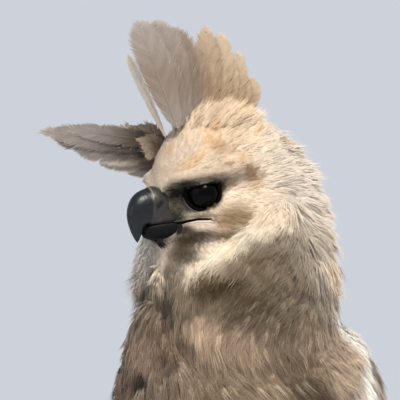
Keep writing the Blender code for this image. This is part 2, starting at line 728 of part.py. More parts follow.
def vane(name, place, outline, finish, thick=VANE_THICK, edge=VANE_EDGE):
    """A thin closed vane. place(share, across, up) gives a point of it: share runs from root to tip,
    across from -1 to 1 and up is the height over its middle surface. Both faces split alike."""
    bm = bmesh.new()
    rows = []
    for share, wide in outline:
        row = []
        for across in (-1, 0, 1):
            half = (thick if across == 0 else edge) / 2
            row.append([bm.verts.new(place(share, across * wide, lift)) for lift in (half, -half)])
        rows.append(row)
    for near, far in zip(rows, rows[1:]):
        for i in (0, 1):
            a, b, c, d = near[i], near[i + 1], far[i + 1], far[i]
            for face in (0, 1):
                bm.faces.new((a[face], b[face], c[face]))
                bm.faces.new((a[face], c[face], d[face]))
        for i in (0, 2):
            a, d = near[i], far[i]
            bm.faces.new((a[0], a[1], d[1]))
            bm.faces.new((a[0], d[1], d[0]))
    for row in (rows[0], rows[-1]):
        for i in (0, 1):
            bm.faces.new((row[i][0], row[i + 1][0], row[i + 1][1]))
            bm.faces.new((row[i][0], row[i + 1][1], row[i][1]))
    return named(name, bm, finish)


def free_vane(name, root, tip, wide, facing, finish):
    """A vane from root to tip in the open: it bows along its length and is cupped across it."""
    length = (tip - root).length
    way = (tip - root).normalized()
    side = way.cross(facing).normalized()
    out = side.cross(way).normalized()

    def place(share, across, up):
        arch = CREST_BOW * length * 4 * share * (1 - share)
        dish = -CREST_CUP * wide * across * across
        return root + way * (share * length) + side * (across * wide / 2) + out * (arch + dish + up)

    return vane(name, place, CREST_OUTLINE, finish, CREST_THICK)


def crest_pad(spec, name, finish):
    (centre, half) = spec
    bm = bmesh.new()
    frame = HEAD @ Matrix.Translation((centre[1], -centre[0], centre[2]))
    size = Matrix.Diagonal((half[1], half[0], half[2], 1))
    bmesh.ops.create_uvsphere(bm, u_segments=16, v_segments=10, radius=1, matrix=frame @ size)
    return named(name, bm, finish)


def crest_fan(name, pad, fan, facing):
    """A pad of raised crown feathers and its long feathers, each laid a little behind the last."""
    base = crest_pad(pad, name, "crest_grey")
    feathers = []
    for i, (root, tip, wide) in enumerate(fan):
        shift = facing * (CREST_LAYER * ((len(fan) - 1) / 2 - i))
        start, stop = in_head(*root) + shift, in_head(*tip) + shift
        feathers.append(free_vane("feather", start, stop, wide, facing, "crest_grey"))
    boolean(base, feathers, "UNION")
    for cutter in (head_ball("cut", GAP), neck("cut", GAP), brow(1, GAP), brow(-1, GAP)):
        boolean(base, [cutter], "DIFFERENCE")
    return smooth(keep_largest(base))


def make_crest():
    crest_fan("crest_left", LEFT_PAD, LEFT_FAN, head_way(*CREST_FACING))
    crest_fan("crest_right", RIGHT_PAD, RIGHT_FAN, head_way(*CREST_FACING))


def arm_pad(name, side):
    """The folded arm under its small feathers: a pad that thins out down the wing."""
    rings = []
    for down in steps(ARM[0][0], ARM[-1][0], ARM_RINGS):
        top = float(along(ARM, down)[0])
        ring = []
        for i in range(ARM_ACROSS + 1):
            share = i / ARM_ACROSS
            round_off = (1 - abs(2 * share - 1) ** ARM_SQUARENESS) ** ARM_ROUNDING
            turn = ARM_FRONT + (ARM_REAR - ARM_FRONT) * share
            ring.append((down, turn, (top + ARM_SINK) * round_off - ARM_SINK))
        for i in range(ARM_ACROSS - 1, 0, -2):
            turn = ARM_FRONT + (ARM_REAR - ARM_FRONT) * i / ARM_ACROSS
            ring.append((down, turn, -3 * ARM_SINK))
        rings.append([mirrored(trunk_point(*spot), side) for spot in ring])
    return loft(name, rings, "wing_grey")


def mirrored(point, side):
    return Vector((point.x * side, point.y, point.z))


def wing_point(down, turn, rise):
    """A point over the shell of the left wing."""
    wide, breast, back = along(WING_SHELL, down)
    deep = back if sin(turn) >= 0 else breast
    across = Vector((cos(turn) * (wide + rise), 0, 0))
    return NECK_BASE + TRUNK_DOWN * down + across + TRUNK_BACK * (sin(turn) * (deep + rise))


def tier_vane(tier, k, side):
    """Feather k of a tier, counted from the breast side to the back, laid over the one before it."""
    last = tier["count"] - 1
    share_k = k / last
    near, middle, far = tier["tips"]
    bulge = 4 * share_k * (1 - share_k)
    tip = near + (far - near) * share_k + (middle - (near + far) / 2) * bulge

    def place(share, across, up):
        down = tier["root"] + (tip - tier["root"]) * share
        first = tier["root_turn"][0] + (tier["tip_turn"][0] - tier["root_turn"][0]) * share
        final = tier["root_turn"][1] + (tier["tip_turn"][1] - tier["root_turn"][1]) * share
        wide, breast, back = along(WING_SHELL, down)
        radius = (wide + back) / 2
        spacing = radians(final - first) / last * radius
        offset = across * tier["width"] / 2
        rise = tier["rise"][0] + (tier["rise"][1] - tier["rise"][0]) * share
        rise += up - tier["step"] * offset / spacing
        turn = radians(first + (final - first) * share_k) + offset / radius
        return mirrored(wing_point(down, turn, rise), side)

    bends = [(line - tier["root"]) / (tip - tier["root"]) for line in tier["lines"]]
    shares = [0.0, *bends, 0.90, 1.0]
    outline = [(share, float(np.interp(share, *zip(*VANE_OUTLINE)))) for share in shares]
    return vane("feather", place, outline, "wing_grey")


def make_wings():
    for side, word in ((1, "left"), (-1, "right")):
        wing = arm_pad(f"wing_{word}", side)
        for cutter in (trunk("cut", GAP), neck("cut", GAP)):
            boolean(wing, [cutter], "DIFFERENCE")
        feathers = []
        for tier in TIERS.values():
            feathers += [tier_vane(tier, k, side) for k in range(tier["count"])]
        boolean(keep_largest(wing), feathers, "UNION", "MANIFOLD")
        smooth(keep_largest(wing))


def tail_point(down, out, up):
    return TAIL_ROOT + TAIL_DOWN * down + Vector((out, 0, 0)) + TAIL_UP * up


def tail_feather(k, side):
    """Feather of pair k, counted from the middle. Only the middle two cross one another."""
    level = -TAIL_LAYER * (k + (0 if k == 0 and side > 0 else 1))
    start = TAIL_FIRST + TAIL_NEXT * k
    fan = TAIL_SPREAD * (k + TAIL_FAN_START)
    length = TAIL_FEATHER * (1 - TAIL_SHORTER * k * k)
    half = TAIL_WIDTH / 2

    def place(share, across, up):
        down = length * share
        middle = start + down * sin(fan)
        out = middle + across * half
        if k > 0:
            out = max(out, TAIL_CLEAR + TAIL_CLEAR_SLOPE * across)
        return tail_point(down, side * out, level + up - TAIL_ROLL * across * half)

    return vane("feather", place, TAIL_OUTLINE, "tail_grey")


def tail_covert(k, above):
    """A short feather over the root of the tail, above or below. The middle one lies outermost."""
    beside = k - (COVERTS - 1) / 2
    length, wide, low, high = COVERT_ABOVE if above > 0 else COVERT_BELOW
    layer = COVERT_STEP * abs(beside)

    def place(share, across, up):
        down = COVERT_START + length * share
        rise = above * (low + (high - low) * share - layer)
        side = COVERT_APART * beside * (1 + COVERT_SPREAD * share) + across * wide / 2
        return tail_point(down, side, rise + up)

    return vane("covert", place, TAIL_OUTLINE, "tail_grey")


def make_tail():
    rings = []
    for down, wide, tall in TAIL_FLESH:
        middle = tail_point(down, 0, TAIL_FLESH_LEVEL)
        rings.append(oval(middle, RIGHT_LEFT, TAIL_UP, wide, tall, TAIL_FLESH_RING))
    tail = loft("tail", rings, "tail_grey")
    feathers = [tail_feather(k, side) for k in range(TAIL_PAIRS) for side in (1, -1)]
    feathers += [tail_covert(k, above) for k in range(COVERTS) for above in (1, -1)]
    boolean(tail, feathers, "UNION", "MANIFOLD")
    boolean(tail, [trunk("cut", GAP)], "DIFFERENCE")
    smooth(keep_largest(tail))


# Legs and feet


def thigh(name, side, grow=0.0):
    rings = []
    for height, y, x, wide, deep in THIGH:
        centre = Vector((side * x, y, height))
        rings.append(oval(centre, RIGHT_LEFT, FORE_AFT, wide + grow, deep + grow, THIGH_RING))
    return loft(name, rings, "breast_buff")


def shank(name, side, grow=0.0):
    """Bare shank with the ball of the foot. Its front carries a ladder of broad scutes."""
    rings = []
    top, bottom = SHANK[0][0], SHANK[-1][0]
    edges = steps(top - SCUTES_ABOVE, bottom + SCUTES_BELOW, SHANK_SCUTES + 1)
    stations = [(top, 0.0)]
    for high, low in zip(edges, edges[1:]):
        stations += [(high - SCUTE_EDGE, 0.0), (low + SCUTE_EDGE, SCUTE_STEP)]
    stations.append((bottom, 0.0))
    for height, step in stations:
        y, wide, deep = along(SHANK[::-1], height)
        ring = oval(Vector((0, y, height)), RIGHT_LEFT, FORE_AFT, wide + grow, deep + grow, SHANK_RING)
        for point in ring:
            ahead = max(0.0, (y - point.y) / deep - SCUTE_BARE)
            point.y -= step * min(1.0, 2 * ahead)
        rings.append([Vector((FOOT_AT.x * side + p.x, p.y, p.z)) for p in ring])
    for height, wide, deep in BALL:
        centre = Vector((FOOT_AT.x * side, FOOT_AT.y, height - grow))
        rings.append(oval(centre, RIGHT_LEFT, FORE_AFT, wide + grow, deep + grow, SHANK_RING))
    return loft(name, rings, "leg_yellow")


def toe_frame(side, compass):
    turn = radians(compass) * side
    ahead = Vector((sin(turn), -cos(turn), 0))
    return ahead, Vector((-ahead.y, ahead.x, 0))


def toe_station(share, length, radius):
    """Distance along the toe, centre height, half width and half height, with a pad at each joint."""
    swell = TOE_SWELL * cos(2 * pi * TOE_PADS * share)
    wide = radius * (TOE_WIDTH - TOE_TAPER * share + swell)
    return TOE_START + (length - TOE_START) * share, radius * TOE_HEIGHT, wide, wide


def toe_body(name, side, toe, grow=0.0):
    """A toe with a flat sole and a step for each broad scute on its upper side."""
    compass, length, radius, _ = TOES[toe]
    ahead, across = toe_frame(side, compass)
    base = Vector((side * FOOT_AT.x, FOOT_AT.y, 0))
    stations = [(0.0, 0.0)]
    edges = steps(TOE_SCUTES_FROM, TOE_SCUTES_TO, TOE_SCUTES + 1)
    for near, far in zip(edges, edges[1:]):
        stations += [(near + TOE_SCUTE_EDGE, 0.0), (far - TOE_SCUTE_EDGE, TOE_SCUTE_STEP)]
    stations.append((1.0, 0.0))
    rings = []
    for share, step in stations:
        out, high, wide, tall = toe_station(share, length, radius)
        if share == 1.0:
            wide, tall = wide * TOE_END, tall * TOE_END
        wide, tall = wide + grow, tall + grow
        ring = oval(base + ahead * out + UPWARD * high, across, UPWARD, wide, tall, TOE_RING)
        for point in ring:
            if point.z > high:
                point.z += step * min(1.0, 1.6 * (point.z - high) / tall)
            point.z = max(point.z, -2 * grow)
        rings.append(ring)
    tip = base + ahead * (length + TOE_TIP + grow) + Vector((0, 0, radius * TOE_TIP_HEIGHT))
    return loft(name, rings, "leg_yellow", end=tip)


def make_toe(side, word, name):
    """A toe seated against the ball of the foot, the middle toe and its own claw."""
    compass, length, radius, claw_length = TOES[name]
    ahead, across = toe_frame(side, compass)
    toe = toe_body(f"toe_{word}_{name}", side, name)
    seat = Vector((side * FOOT_AT.x, FOOT_AT.y, radius * CLAW_SEAT_HEIGHT))
    claw_base = seat + ahead * (length - CLAW_SEAT)
    claw = make_claw(f"claw_{word}_{name}", claw_base, ahead, across, claw_length)
    cutters = [shank("cut", side, GAP), claw_copy(claw)]
    if name in ("inner", "outer"):
        cutters.append(toe_body("cut", side, "middle", GAP))
    for cutter in cutters:
        boolean(toe, [cutter], "DIFFERENCE", "MANIFOLD")
    smooth(keep_largest(toe), 60)


def claw_copy(claw):
    """The same claw a gap larger all round, to cut its seat in the toe."""
    bm = bmesh.new()
    bm.from_mesh(claw.data)
    bm.normal_update()
    for v in bm.verts:
        v.co += v.normal * GAP
    return named("cut", bm, "claw_black")


def claw_path(base, ahead, first_slope, length, count):
    """Points along a claw whose slope turns evenly from its first value to its last."""
    points, slopes = [base.copy()], []
    for i in range(count):
        slope = first_slope + (CLAW_END_SLOPE - first_slope) * (i + 0.5) / count
        points.append(points[-1] + (ahead * cos(slope) + Vector((0, 0, sin(slope)))) * (length / count))
        slopes.append(slope)
    return points, [slopes[0], *slopes]


def make_claw(name, base, ahead, across, length):
    """A hooked claw that rises from the toe and comes down to the floor."""
    low, high, count = CLAW_LOWEST_START, CLAW_HIGHEST_START, CLAW_RINGS
    for _ in range(30):
        first_slope = (low + high) / 2
        points, slopes = claw_path(base, ahead, first_slope, length, count)
        if points[-1].z < CLAW_CLEAR:
            low = first_slope
        else:
            high = first_slope
    rings = []
    for i, (point, slope) in enumerate(zip(points[:-1], slopes)):
        share = i / count
        size = (CLAW_RADIUS + CLAW_GROWTH * length) * (1 - share) ** CLAW_THINNING
        up = Vector((0, 0, cos(slope))) - ahead * sin(slope)
        rings.append(oval(point, across, up, size * CLAW_WIDTH, size, CLAW_RING))
    return smooth(loft(name, rings, "claw_black", end=points[-1]), 60)


def make_legs():
    for side, word in ((1, "left"), (-1, "right")):
        leg = shank(f"shank_{word}", side)
        upper = thigh(f"thigh_{word}", side)
        boolean(upper, [trunk("cut", GAP)], "DIFFERENCE")
        boolean(upper, [shank("cut", side, GAP)], "DIFFERENCE")
        smooth(keep_largest(upper))
        for name in TOES:
            make_toe(side, word, name)
        smooth(keep_largest(leg), 60)


def centre_on_floor():
    """Moves the whole bird so that the middle of its box's underside is the origin."""
    meshes = [obj.data for obj in bpy.data.objects]
    corners = np.array([v.co for mesh in meshes for v in mesh.vertices])
    low, high = corners.min(axis=0), corners.max(axis=0)
    shift = Vector((-(low[0] + high[0]) / 2, -(low[1] + high[1]) / 2, -low[2]))
    for mesh in meshes:
        mesh.transform(Matrix.Translation(shift))


clear_scene()
make_head_neck_trunk()
make_eyes()
make_bill()
make_crest()
make_wings()
make_tail()
make_legs()
centre_on_floor()
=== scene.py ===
"""Looks of the life-size young harpy eagle: hide, plumage, crest, bill, eyes and scaled feet."""

from math import cos, pi, radians, sin

import bmesh
import bpy
import numpy as np
from mathutils import Matrix, Vector
from mathutils.bvhtree import BVHTree


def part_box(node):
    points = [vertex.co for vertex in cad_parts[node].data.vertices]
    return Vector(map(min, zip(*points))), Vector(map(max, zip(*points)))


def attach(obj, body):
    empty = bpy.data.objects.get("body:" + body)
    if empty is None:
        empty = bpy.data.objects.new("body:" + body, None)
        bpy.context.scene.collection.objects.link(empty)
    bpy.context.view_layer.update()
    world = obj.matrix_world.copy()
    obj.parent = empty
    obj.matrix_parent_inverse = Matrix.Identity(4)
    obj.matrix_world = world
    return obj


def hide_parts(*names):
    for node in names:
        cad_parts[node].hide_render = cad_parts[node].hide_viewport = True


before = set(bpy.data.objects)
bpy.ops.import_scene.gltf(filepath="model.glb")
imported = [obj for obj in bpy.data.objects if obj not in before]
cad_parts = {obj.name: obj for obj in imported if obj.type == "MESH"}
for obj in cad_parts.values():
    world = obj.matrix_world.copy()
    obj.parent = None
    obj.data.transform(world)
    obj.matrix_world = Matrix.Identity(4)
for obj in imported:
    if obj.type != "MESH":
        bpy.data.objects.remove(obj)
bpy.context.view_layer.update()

# Hide
# One closed skin from the face to the ankles, with the folded arms in it. It lies under the
# plumage by the depth of the feathers there, and has the same markings and painted shade as they have.

# part.py moves the finished model over the middle of the floor; the left eye tells how far
EYE_BEFORE_SHIFT = Vector((-0.03862, -0.13898, 0.78997))
eye_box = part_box("eye_left")
SHIFT = (eye_box[0] + eye_box[1]) / 2 - EYE_BEFORE_SHIFT
SIDES = {1: "left", -1: "right"}
# the head's own frame: x to its left, y back, z up
HEAD = (
    Matrix.Translation(Vector((-0.051, -0.119, 0.790)) + SHIFT)
    @ Matrix.Rotation(-radians(57), 4, "Z")
    @ Matrix.Rotation(radians(4), 4, "X")
)
HEAD_AXES = np.array(HEAD.to_3x3())
HEAD_ORIGIN = np.array(HEAD.translation)
NECK_BASE = np.array(Vector((0.0, -0.108, 0.665)) + SHIFT)
TRUNK_SLOPE = radians(61)
TRUNK_DOWN = np.array((0, cos(TRUNK_SLOPE), -sin(TRUNK_SLOPE)))
TRUNK_BACK = np.array((0, sin(TRUNK_SLOPE), cos(TRUNK_SLOPE)))
# distance down the trunk, half width, depth of the breast, depth of the back
TRUNK = (
    (-0.012, 0.066, 0.050, 0.052),
    (0.006, 0.084, 0.071, 0.064),
    (0.050, 0.098, 0.092, 0.073),
    (0.100, 0.104, 0.104, 0.078),
    (0.160, 0.106, 0.110, 0.080),
    (0.220, 0.104, 0.110, 0.078),
)
WING_SHELL = (
    *TRUNK,
    (0.280, 0.099, 0.102, 0.075),
    (0.340, 0.092, 0.092, 0.074),
    (0.400, 0.083, 0.080, 0.074),
    (0.460, 0.074, 0.070, 0.075),
    (0.530, 0.064, 0.060, 0.077),
)
# the folded arm: distance down the trunk, height over it
ARM = (
    (-0.026, -0.0040),
    (-0.014, 0.0110),
    (0.004, 0.0190),
    (0.040, 0.0235),
    (0.090, 0.0245),
    (0.140, 0.0215),
    (0.180, 0.0140),
    (0.215, 0.0060),
    (0.235, -0.0020),
)
ARM_FRONT, ARM_REAR = radians(-50), radians(66)
# shelf over the eye: centre (forward, left, up in the head's frame), half across, half tall
BROW = (
    (0.036, 0.0100, 0.0115, 0.0045, 0.0040),
    (0.031, 0.0185, 0.0128, 0.0070, 0.0055),
    (0.021, 0.0265, 0.0142, 0.0090, 0.0080),
    (0.008, 0.0325, 0.0165, 0.0105, 0.0100),
    (-0.005, 0.0370, 0.0190, 0.0110, 0.0115),
    (-0.016, 0.0400, 0.0205, 0.0110, 0.0115),
    (-0.026, 0.0425, 0.0220, 0.0085, 0.0095),
)
# the soft skin between bill and eye: place and size
LORE = Vector((0.0125, -0.0185, -0.0095))
LORE_SIZE = (0.0070, 0.0125, 0.0100)
HIDE_MESH = 0.003
# the solids are swollen a little before they are joined, so that they meet
HIDE_SWELL = 0.0006
# in front of this the hide shrinks back, so that it stays inside the bill
BILL_ROOT, BILL_LEVEL = 0.032, -0.013
# how far from its middle the face reaches; there the skin is smoothed less
FACE_REACH = 0.065


def linear(*srgb):
    return (np.array(srgb, float) / 255) ** 2.2


def fade(low, high, value):
    """0 below low, 1 above high, and a smooth step between them."""
    share = np.clip((value - low) / (high - low), 0, 1)
    return share * share * (3 - 2 * share)


def head_places(points):
    """Forward, left and up of points in the head's own frame."""
    local = (points - HEAD_ORIGIN) @ HEAD_AXES
    return -local[..., 1], local[..., 0], local[..., 2]


def from_head(forward, left, up):
    local = np.stack(np.broadcast_arrays(left, -np.asarray(forward), up), axis=-1)
    return local @ HEAD_AXES.T + HEAD_ORIGIN


def squarish(turn, power):
    """Cosine and sine, drawn out towards a square."""
    return (np.sign(value) * np.abs(value) ** power for value in (np.cos(turn), np.sin(turn)))


def shell_point(down, turn, rise, side):
    """A point over the wing's shell: turn runs round the trunk from its side to the back."""
    keys, wide, breast, back = np.array(WING_SHELL).T
    half = np.interp(down, keys, wide) + rise
    deep = np.where(np.sin(turn) >= 0, np.interp(down, keys, back), np.interp(down, keys, breast)) + rise
    out = np.stack(np.broadcast_arrays(side * np.cos(turn) * half, 0.0, 0.0), axis=-1)
    return NECK_BASE + TRUNK_DOWN * down[..., None] + out + TRUNK_BACK * (np.sin(turn) * deep)[..., None]


def tube(bm, loops, closed=False):
    """A body through loops of places: closed to a ring, or with a flat face at each end."""
    loops = [[bm.verts.new(place) for place in loop] for loop in loops]
    for near, far in zip(loops, loops[1:] + loops[:1] if closed else loops[1:]):
        edges = []
        for loop in (near, far):
            for a, b in zip(loop, loop[1:] + loop[:1]):
                edges.append(bm.edges.get((a, b)) or bm.edges.new((a, b)))
        bmesh.ops.bridge_loops(bm, edges=edges)
    ends = [] if closed else [bm.faces.new(loop) for loop in (loops[0], loops[-1])]
    bmesh.ops.recalc_face_normals(bm, faces=bm.faces)
    return ends


def arm_core(bm, side):
    """The folded arm under its coverts, as a pad that is closed at both ends."""
    loops = []
    for down, top in ARM:
        share = np.linspace(0, 1, 12)
        rise = (top + 0.010) * (1 - np.abs(2 * share - 1) ** 2.4) ** 0.6 - 0.010
        turn = ARM_FRONT + (ARM_REAR - ARM_FRONT) * share
        outer = shell_point(np.full(12, down), turn, rise, side)
        inner = shell_point(np.full(10, down), turn[-2:0:-1], np.full(10, -0.030), side)
        loops.append(np.concatenate([outer, inner]))
    tube(bm, loops)


def brow_core(bm, side):
    out, rise = squarish(np.arange(16) * (pi / 8), 0.7)
    tube(bm, [from_head(f, side * (l + wide * out), u + tall * rise) for f, l, u, wide, tall in BROW])


def merged_solids(nodes):
    """The triangles of some solids, joined at their corners."""
    bm = bmesh.new()
    for node in nodes:
        bm.from_mesh(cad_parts[node].data)
    bmesh.ops.remove_doubles(bm, verts=bm.verts, dist=0.00001)
    return bm


def add_piece(name, bm, finish=None):
    """A smooth object of a bmesh, which is used up."""
    mesh = bpy.data.meshes.new(name)
    bm.to_mesh(mesh)
    bm.free()
    mesh.shade_smooth()
    if finish:
        mesh.materials.append(finish)
    piece = bpy.data.objects.new(name, mesh)
    bpy.context.scene.collection.objects.link(piece)
    return piece


def keep_modified(piece):
    """Puts what the modifiers make into the piece's own mesh."""
    graph = bpy.context.evaluated_depsgraph_get()
    piece.data = bpy.data.meshes.new_from_object(piece.evaluated_get(graph))
    piece.modifiers.clear()
    piece.data.name = piece.name


def remesh(piece, size):
    """One closed skin round all parts of a piece."""
    skin = piece.modifiers.new("skin", "REMESH")
    skin.mode = "VOXEL"
    skin.voxel_size = size
    keep_modified(piece)


def smooth(bm, verts, rounds):
    for _ in range(rounds):
        bmesh.ops.smooth_vert(
            bm, verts=verts, factor=0.5, use_axis_x=True, use_axis_y=True, use_axis_z=True
        )


def places_and_normals(verts):
    return np.array([v.co for v in verts]), np.array([v.normal for v in verts])


def off_face(points):
    return np.linalg.norm(points - from_head(0.020, 0.0, -0.005), axis=-1)


def plumage_depth(points):
    """How deep the feathers lie over the skin."""
    face = 1 - fade(0.030, 0.080, off_face(points))
    shank_end = 1 - fade(0.12, 0.18, points[..., 2])
    return 0.0065 - 0.0050 * face - 0.003 * shank_end + HIDE_SWELL


bm = merged_solids((
    "head", "neck", "torso", "thigh_left", "thigh_right",
    "eye_left", "eye_right", "bill_upper", "bill_lower",
))
bm.normal_update()
for v in bm.verts:
    v.co += v.normal * HIDE_SWELL
for side in SIDES:
    arm_core(bm, side)
    brow_core(bm, side)
    lore = Matrix.Translation((side * LORE.x, LORE.y, LORE.z)) @ Matrix.Diagonal((*LORE_SIZE, 1))
    bmesh.ops.create_uvsphere(bm, u_segments=24, v_segments=16, radius=1.0, matrix=HEAD @ lore)
bmesh.ops.recalc_face_normals(bm, faces=bm.faces)
hide = add_piece("hide", bm)
remesh(hide, HIDE_MESH)

bm = bmesh.new()
bm.from_mesh(hide.data)
places, _ = places_and_normals(bm.verts)
body_part = [v for v, far in zip(bm.verts, off_face(places)) if far > FACE_REACH]
smooth(bm, bm.verts, 2)
smooth(bm, body_part, 8)
bm.normal_update()
places, _ = places_and_normals(bm.verts)
for v, depth in zip(bm.verts, plumage_depth(places)):
    v.co -= v.normal * depth
for v in bm.verts:
    forward, left, up = head_places(np.array(v.co))
    if forward > BILL_ROOT:
        forward = BILL_ROOT + 0.4 * (forward - BILL_ROOT)
        v.co = from_head(forward, 0.65 * left, BILL_LEVEL + 0.65 * (up - BILL_LEVEL))
smooth(bm, body_part, 3)
bmesh.ops.triangulate(bm, faces=bm.faces)
bm.to_mesh(hide.data)
bm.free()
hide.data.shade_smooth()

EYES = {side: from_head(0.0005, side * 0.0235, 0.0) for side in SIDES}
# Markings, with painted shade under the brows, under the jaw and down the throat: name, centre (forward,
# left, up), reach (same three), colour, strength
HEAD_MARKS = (
    ("forehead", (0.024, 0.000, 0.036), (0.030, 0.036, 0.028), (190, 170, 152), 0.8),
    ("crown", (-0.020, 0.020, 0.060), (0.040, 0.040, 0.022), (214, 186, 152), 0.6),
    ("brow", (0.002, 0.034, 0.024), (0.032, 0.018, 0.0085), (214, 194, 169), 0.95),
    ("brow_rear", (-0.016, 0.036, 0.0365), (0.014, 0.020, 0.0080), (180, 146, 112), 0.7),
    # the next two rows are painted shade under the brow shelf, over the eye
    ("shade_under_brow", (-0.004, 0.034, 0.0122), (0.021, 0.014, 0.0044), (48, 38, 29), 0.92),
    ("brow_shade", (0.0200, 0.030, 0.0080), (0.013, 0.014, 0.0050), (16, 13, 11), 0.98),
    ("temple", (-0.036, 0.045, 0.014), (0.010, 0.020, 0.010), (134, 100, 70), 0.88),
    ("eye_corner", (-0.0125, 0.034, 0.0060), (0.0065, 0.012, 0.0055), (20, 16, 13), 0.95),
    ("eye_rear", (-0.0195, 0.037, 0.0060), (0.0060, 0.012, 0.0050), (140, 112, 84), 0.75),
    ("lores", (0.021, 0.019, -0.009), (0.014, 0.020, 0.0120), (84, 76, 66), 0.98),
    ("lore_dark", (0.0215, 0.019, 0.0015), (0.014, 0.015, 0.0085), (12, 10, 8), 0.99),
    ("under_eye", (-0.012, 0.040, -0.0125), (0.022, 0.020, 0.0045), (216, 194, 164), 0.8),
    ("ear", (-0.036, 0.050, 0.002), (0.008, 0.012, 0.005), (204, 172, 132), 0.6),
    ("cheek", (-0.012, 0.050, -0.0240), (0.022, 0.020, 0.0120), (132, 106, 74), 0.92),
    ("jaw", (-0.006, 0.050, -0.0370), (0.021, 0.018, 0.0042), (80, 58, 34), 0.9),
    ("jaw_front", (0.0105, 0.034, -0.0335), (0.0100, 0.014, 0.0036), (76, 58, 38), 0.92),
    ("gape", (0.0080, 0.036, -0.0270), (0.009, 0.012, 0.0030), (204, 184, 168), 0.9),
    ("lip", (0.0220, 0.018, -0.0210), (0.0085, 0.014, 0.0046), (40, 34, 29), 0.97),
    ("lip_rear", (0.0080, 0.032, -0.0200), (0.0110, 0.014, 0.0030), (96, 82, 68), 0.9),
    ("lower_gape", (0.0205, 0.0195, -0.0300), (0.0090, 0.016, 0.0046), (42, 35, 28), 0.97),
    # painted shade: the next three rows darken under the lower jaw, down the throat and in the hollow between
    # beard and ruff
    ("shadow_under_jaw", (0.0175, 0.024, -0.0385), (0.0215, 0.022, 0.0068), (44, 34, 21), 0.97),
    ("throat", (0.0235, 0.021, -0.0500), (0.0155, 0.018, 0.0105), (62, 50, 33), 0.93),
    ("valley_shade", (0.0275, 0.0120, -0.0690), (0.0100, 0.014, 0.0130), (84, 70, 52), 0.85),
    ("ruff_rear", (-0.032, 0.066, -0.038), (0.022, 0.024, 0.011), (236, 222, 198), 0.95),
    ("ruff_middle", (-0.008, 0.062, -0.054), (0.020, 0.024, 0.010), (252, 238, 210), 0.95),
    ("ruff_front", (0.010, 0.052, -0.064), (0.013, 0.020, 0.008), (248, 232, 204), 0.9),
    ("nape", (-0.085, 0.030, 0.000), (0.035, 0.060, 0.070), (206, 194, 180), 0.9),
    ("mouth", (0.040, 0.000, -0.0200), (0.017, 0.0170, 0.0200), (22, 19, 19), 1.0),
)
# Markings of the head in the model's own frame
BEARD_MARKS = (
    ("beard", (-0.0705, -0.2120, 0.7330), (0.0110, 0.034, 0.0200), (238, 228, 214), 0.95),
    ("beard_left", (-0.0780, -0.2050, 0.7290), (0.0090, 0.034, 0.0220), (252, 244, 232), 0.95),
    ("nape_low", (0.0720, -0.2350, 0.7480), (0.0200, 0.030, 0.0140), (176, 163, 146), 0.7),
)
HEAD_BASE = linear(226, 207, 182)
NECK_COLOUR = linear(128, 112, 92)
BREAST_COLOUR = linear(140, 120, 99)
BELLY_COLOUR = linear(206, 190, 168)
THIGH_COLOUR = linear(222, 208, 188)
BACK_COLOUR = linear(158, 146, 130)
BARE_SKIN = linear(14, 11, 9)
# Markings of the neck and breast, with painted shadow under the ruff and beside the right wing, as the ones
# above but in the model's own frame
BODY_MARKS = (
    # painted shadow that the ruff casts on the neck
    ("shadow_under_ruff", (-0.003, -0.262, 0.7120), (0.026, 0.030, 0.0100), (60, 45, 28), 0.93),
    ("under_cheek", (0.032, -0.266, 0.7340), (0.018, 0.030, 0.0080), (100, 84, 64), 0.7),
    ("neck_middle", (0.022, -0.266, 0.6930), (0.028, 0.030, 0.0150), (80, 67, 51), 0.8),
    ("neck_right", (0.048, -0.262, 0.6740), (0.022, 0.030, 0.0130), (88, 75, 59), 0.7),
    ("nape_rim", (0.086, -0.225, 0.7250), (0.020, 0.050, 0.0380), (190, 178, 162), 0.85),
    # painted shadow between the right wing and the breast
    ("shadow_beside_right_wing", (-0.050, -0.246, 0.6750), (0.010, 0.030, 0.0500), (60, 50, 40), 0.88),
    ("breast_base", (-0.008, -0.262, 0.6200), (0.032, 0.030, 0.0100), (106, 89, 72), 0.6),
    ("breast_bright", (-0.020, -0.262, 0.6730), (0.018, 0.030, 0.0130), (206, 176, 148), 0.9),
    ("breast_middle", (0.002, -0.262, 0.6580), (0.034, 0.030, 0.0130), (178, 152, 126), 0.7),
    ("breast_right", (0.060, -0.256, 0.6450), (0.024, 0.030, 0.0160), (104, 87, 69), 0.7),
    ("breast_low", (0.068, -0.250, 0.6210), (0.026, 0.030, 0.0110), (66, 54, 43), 0.85),
    ("neck_side", (0.066, -0.250, 0.6740), (0.010, 0.030, 0.0100), (150, 130, 108), 0.6),
)


def blot(colour, marks, coordinates):
    for _, centre, reach, srgb, strength in marks:
        far = sum(((value - c) / r) ** 2 for value, c, r in zip(coordinates, centre, reach))
        share = (strength * np.exp(-(far**2)))[..., None]
        colour = colour * (1 - share) + linear(*srgb) * share
    return colour


def mottle(points, size):
    """Soft uneven clouds from -1 to 1, about so large."""
    x, y, z = (points / size * 2.4).T
    waves = np.sin(1.7 * x + 2.1 * np.sin(0.9 * y + z)) + np.sin(1.9 * z - 1.4 * y + 1.6 * np.sin(1.3 * x))
    return (waves + np.sin(2.6 * y + 1.1 * x + np.sin(2.2 * z))) / 3


def round_trunk(points):
    """Distance down the trunk, angle from its side to the back, and height over its surface."""
    offset = points - NECK_BASE
    down, back = offset @ TRUNK_DOWN, offset @ TRUNK_BACK
    keys, wide, breast, rear = np.array(WING_SHELL).T
    across = np.abs(offset[..., 0])
    half = np.interp(down, keys, wide)
    deep = np.where(back >= 0, np.interp(down, keys, rear), np.interp(down, keys, breast))
    turn = np.arctan2(back / deep, across / half)
    return down, turn, (np.hypot(across / half, back / deep) - 1) * half


def arm_share(points):
    """1 on the folded arm, 0 off it."""
    down, turn, over = round_trunk(points)
    within = fade(-0.034, -0.020, down) * fade(0.235, 0.215, down)
    within = within * fade(ARM_FRONT - 0.06, ARM_FRONT + 0.06, turn)
    within = within * fade(ARM_REAR + 0.06, ARM_REAR - 0.06, turn)
    return within * fade(-0.004, 0.002, over)


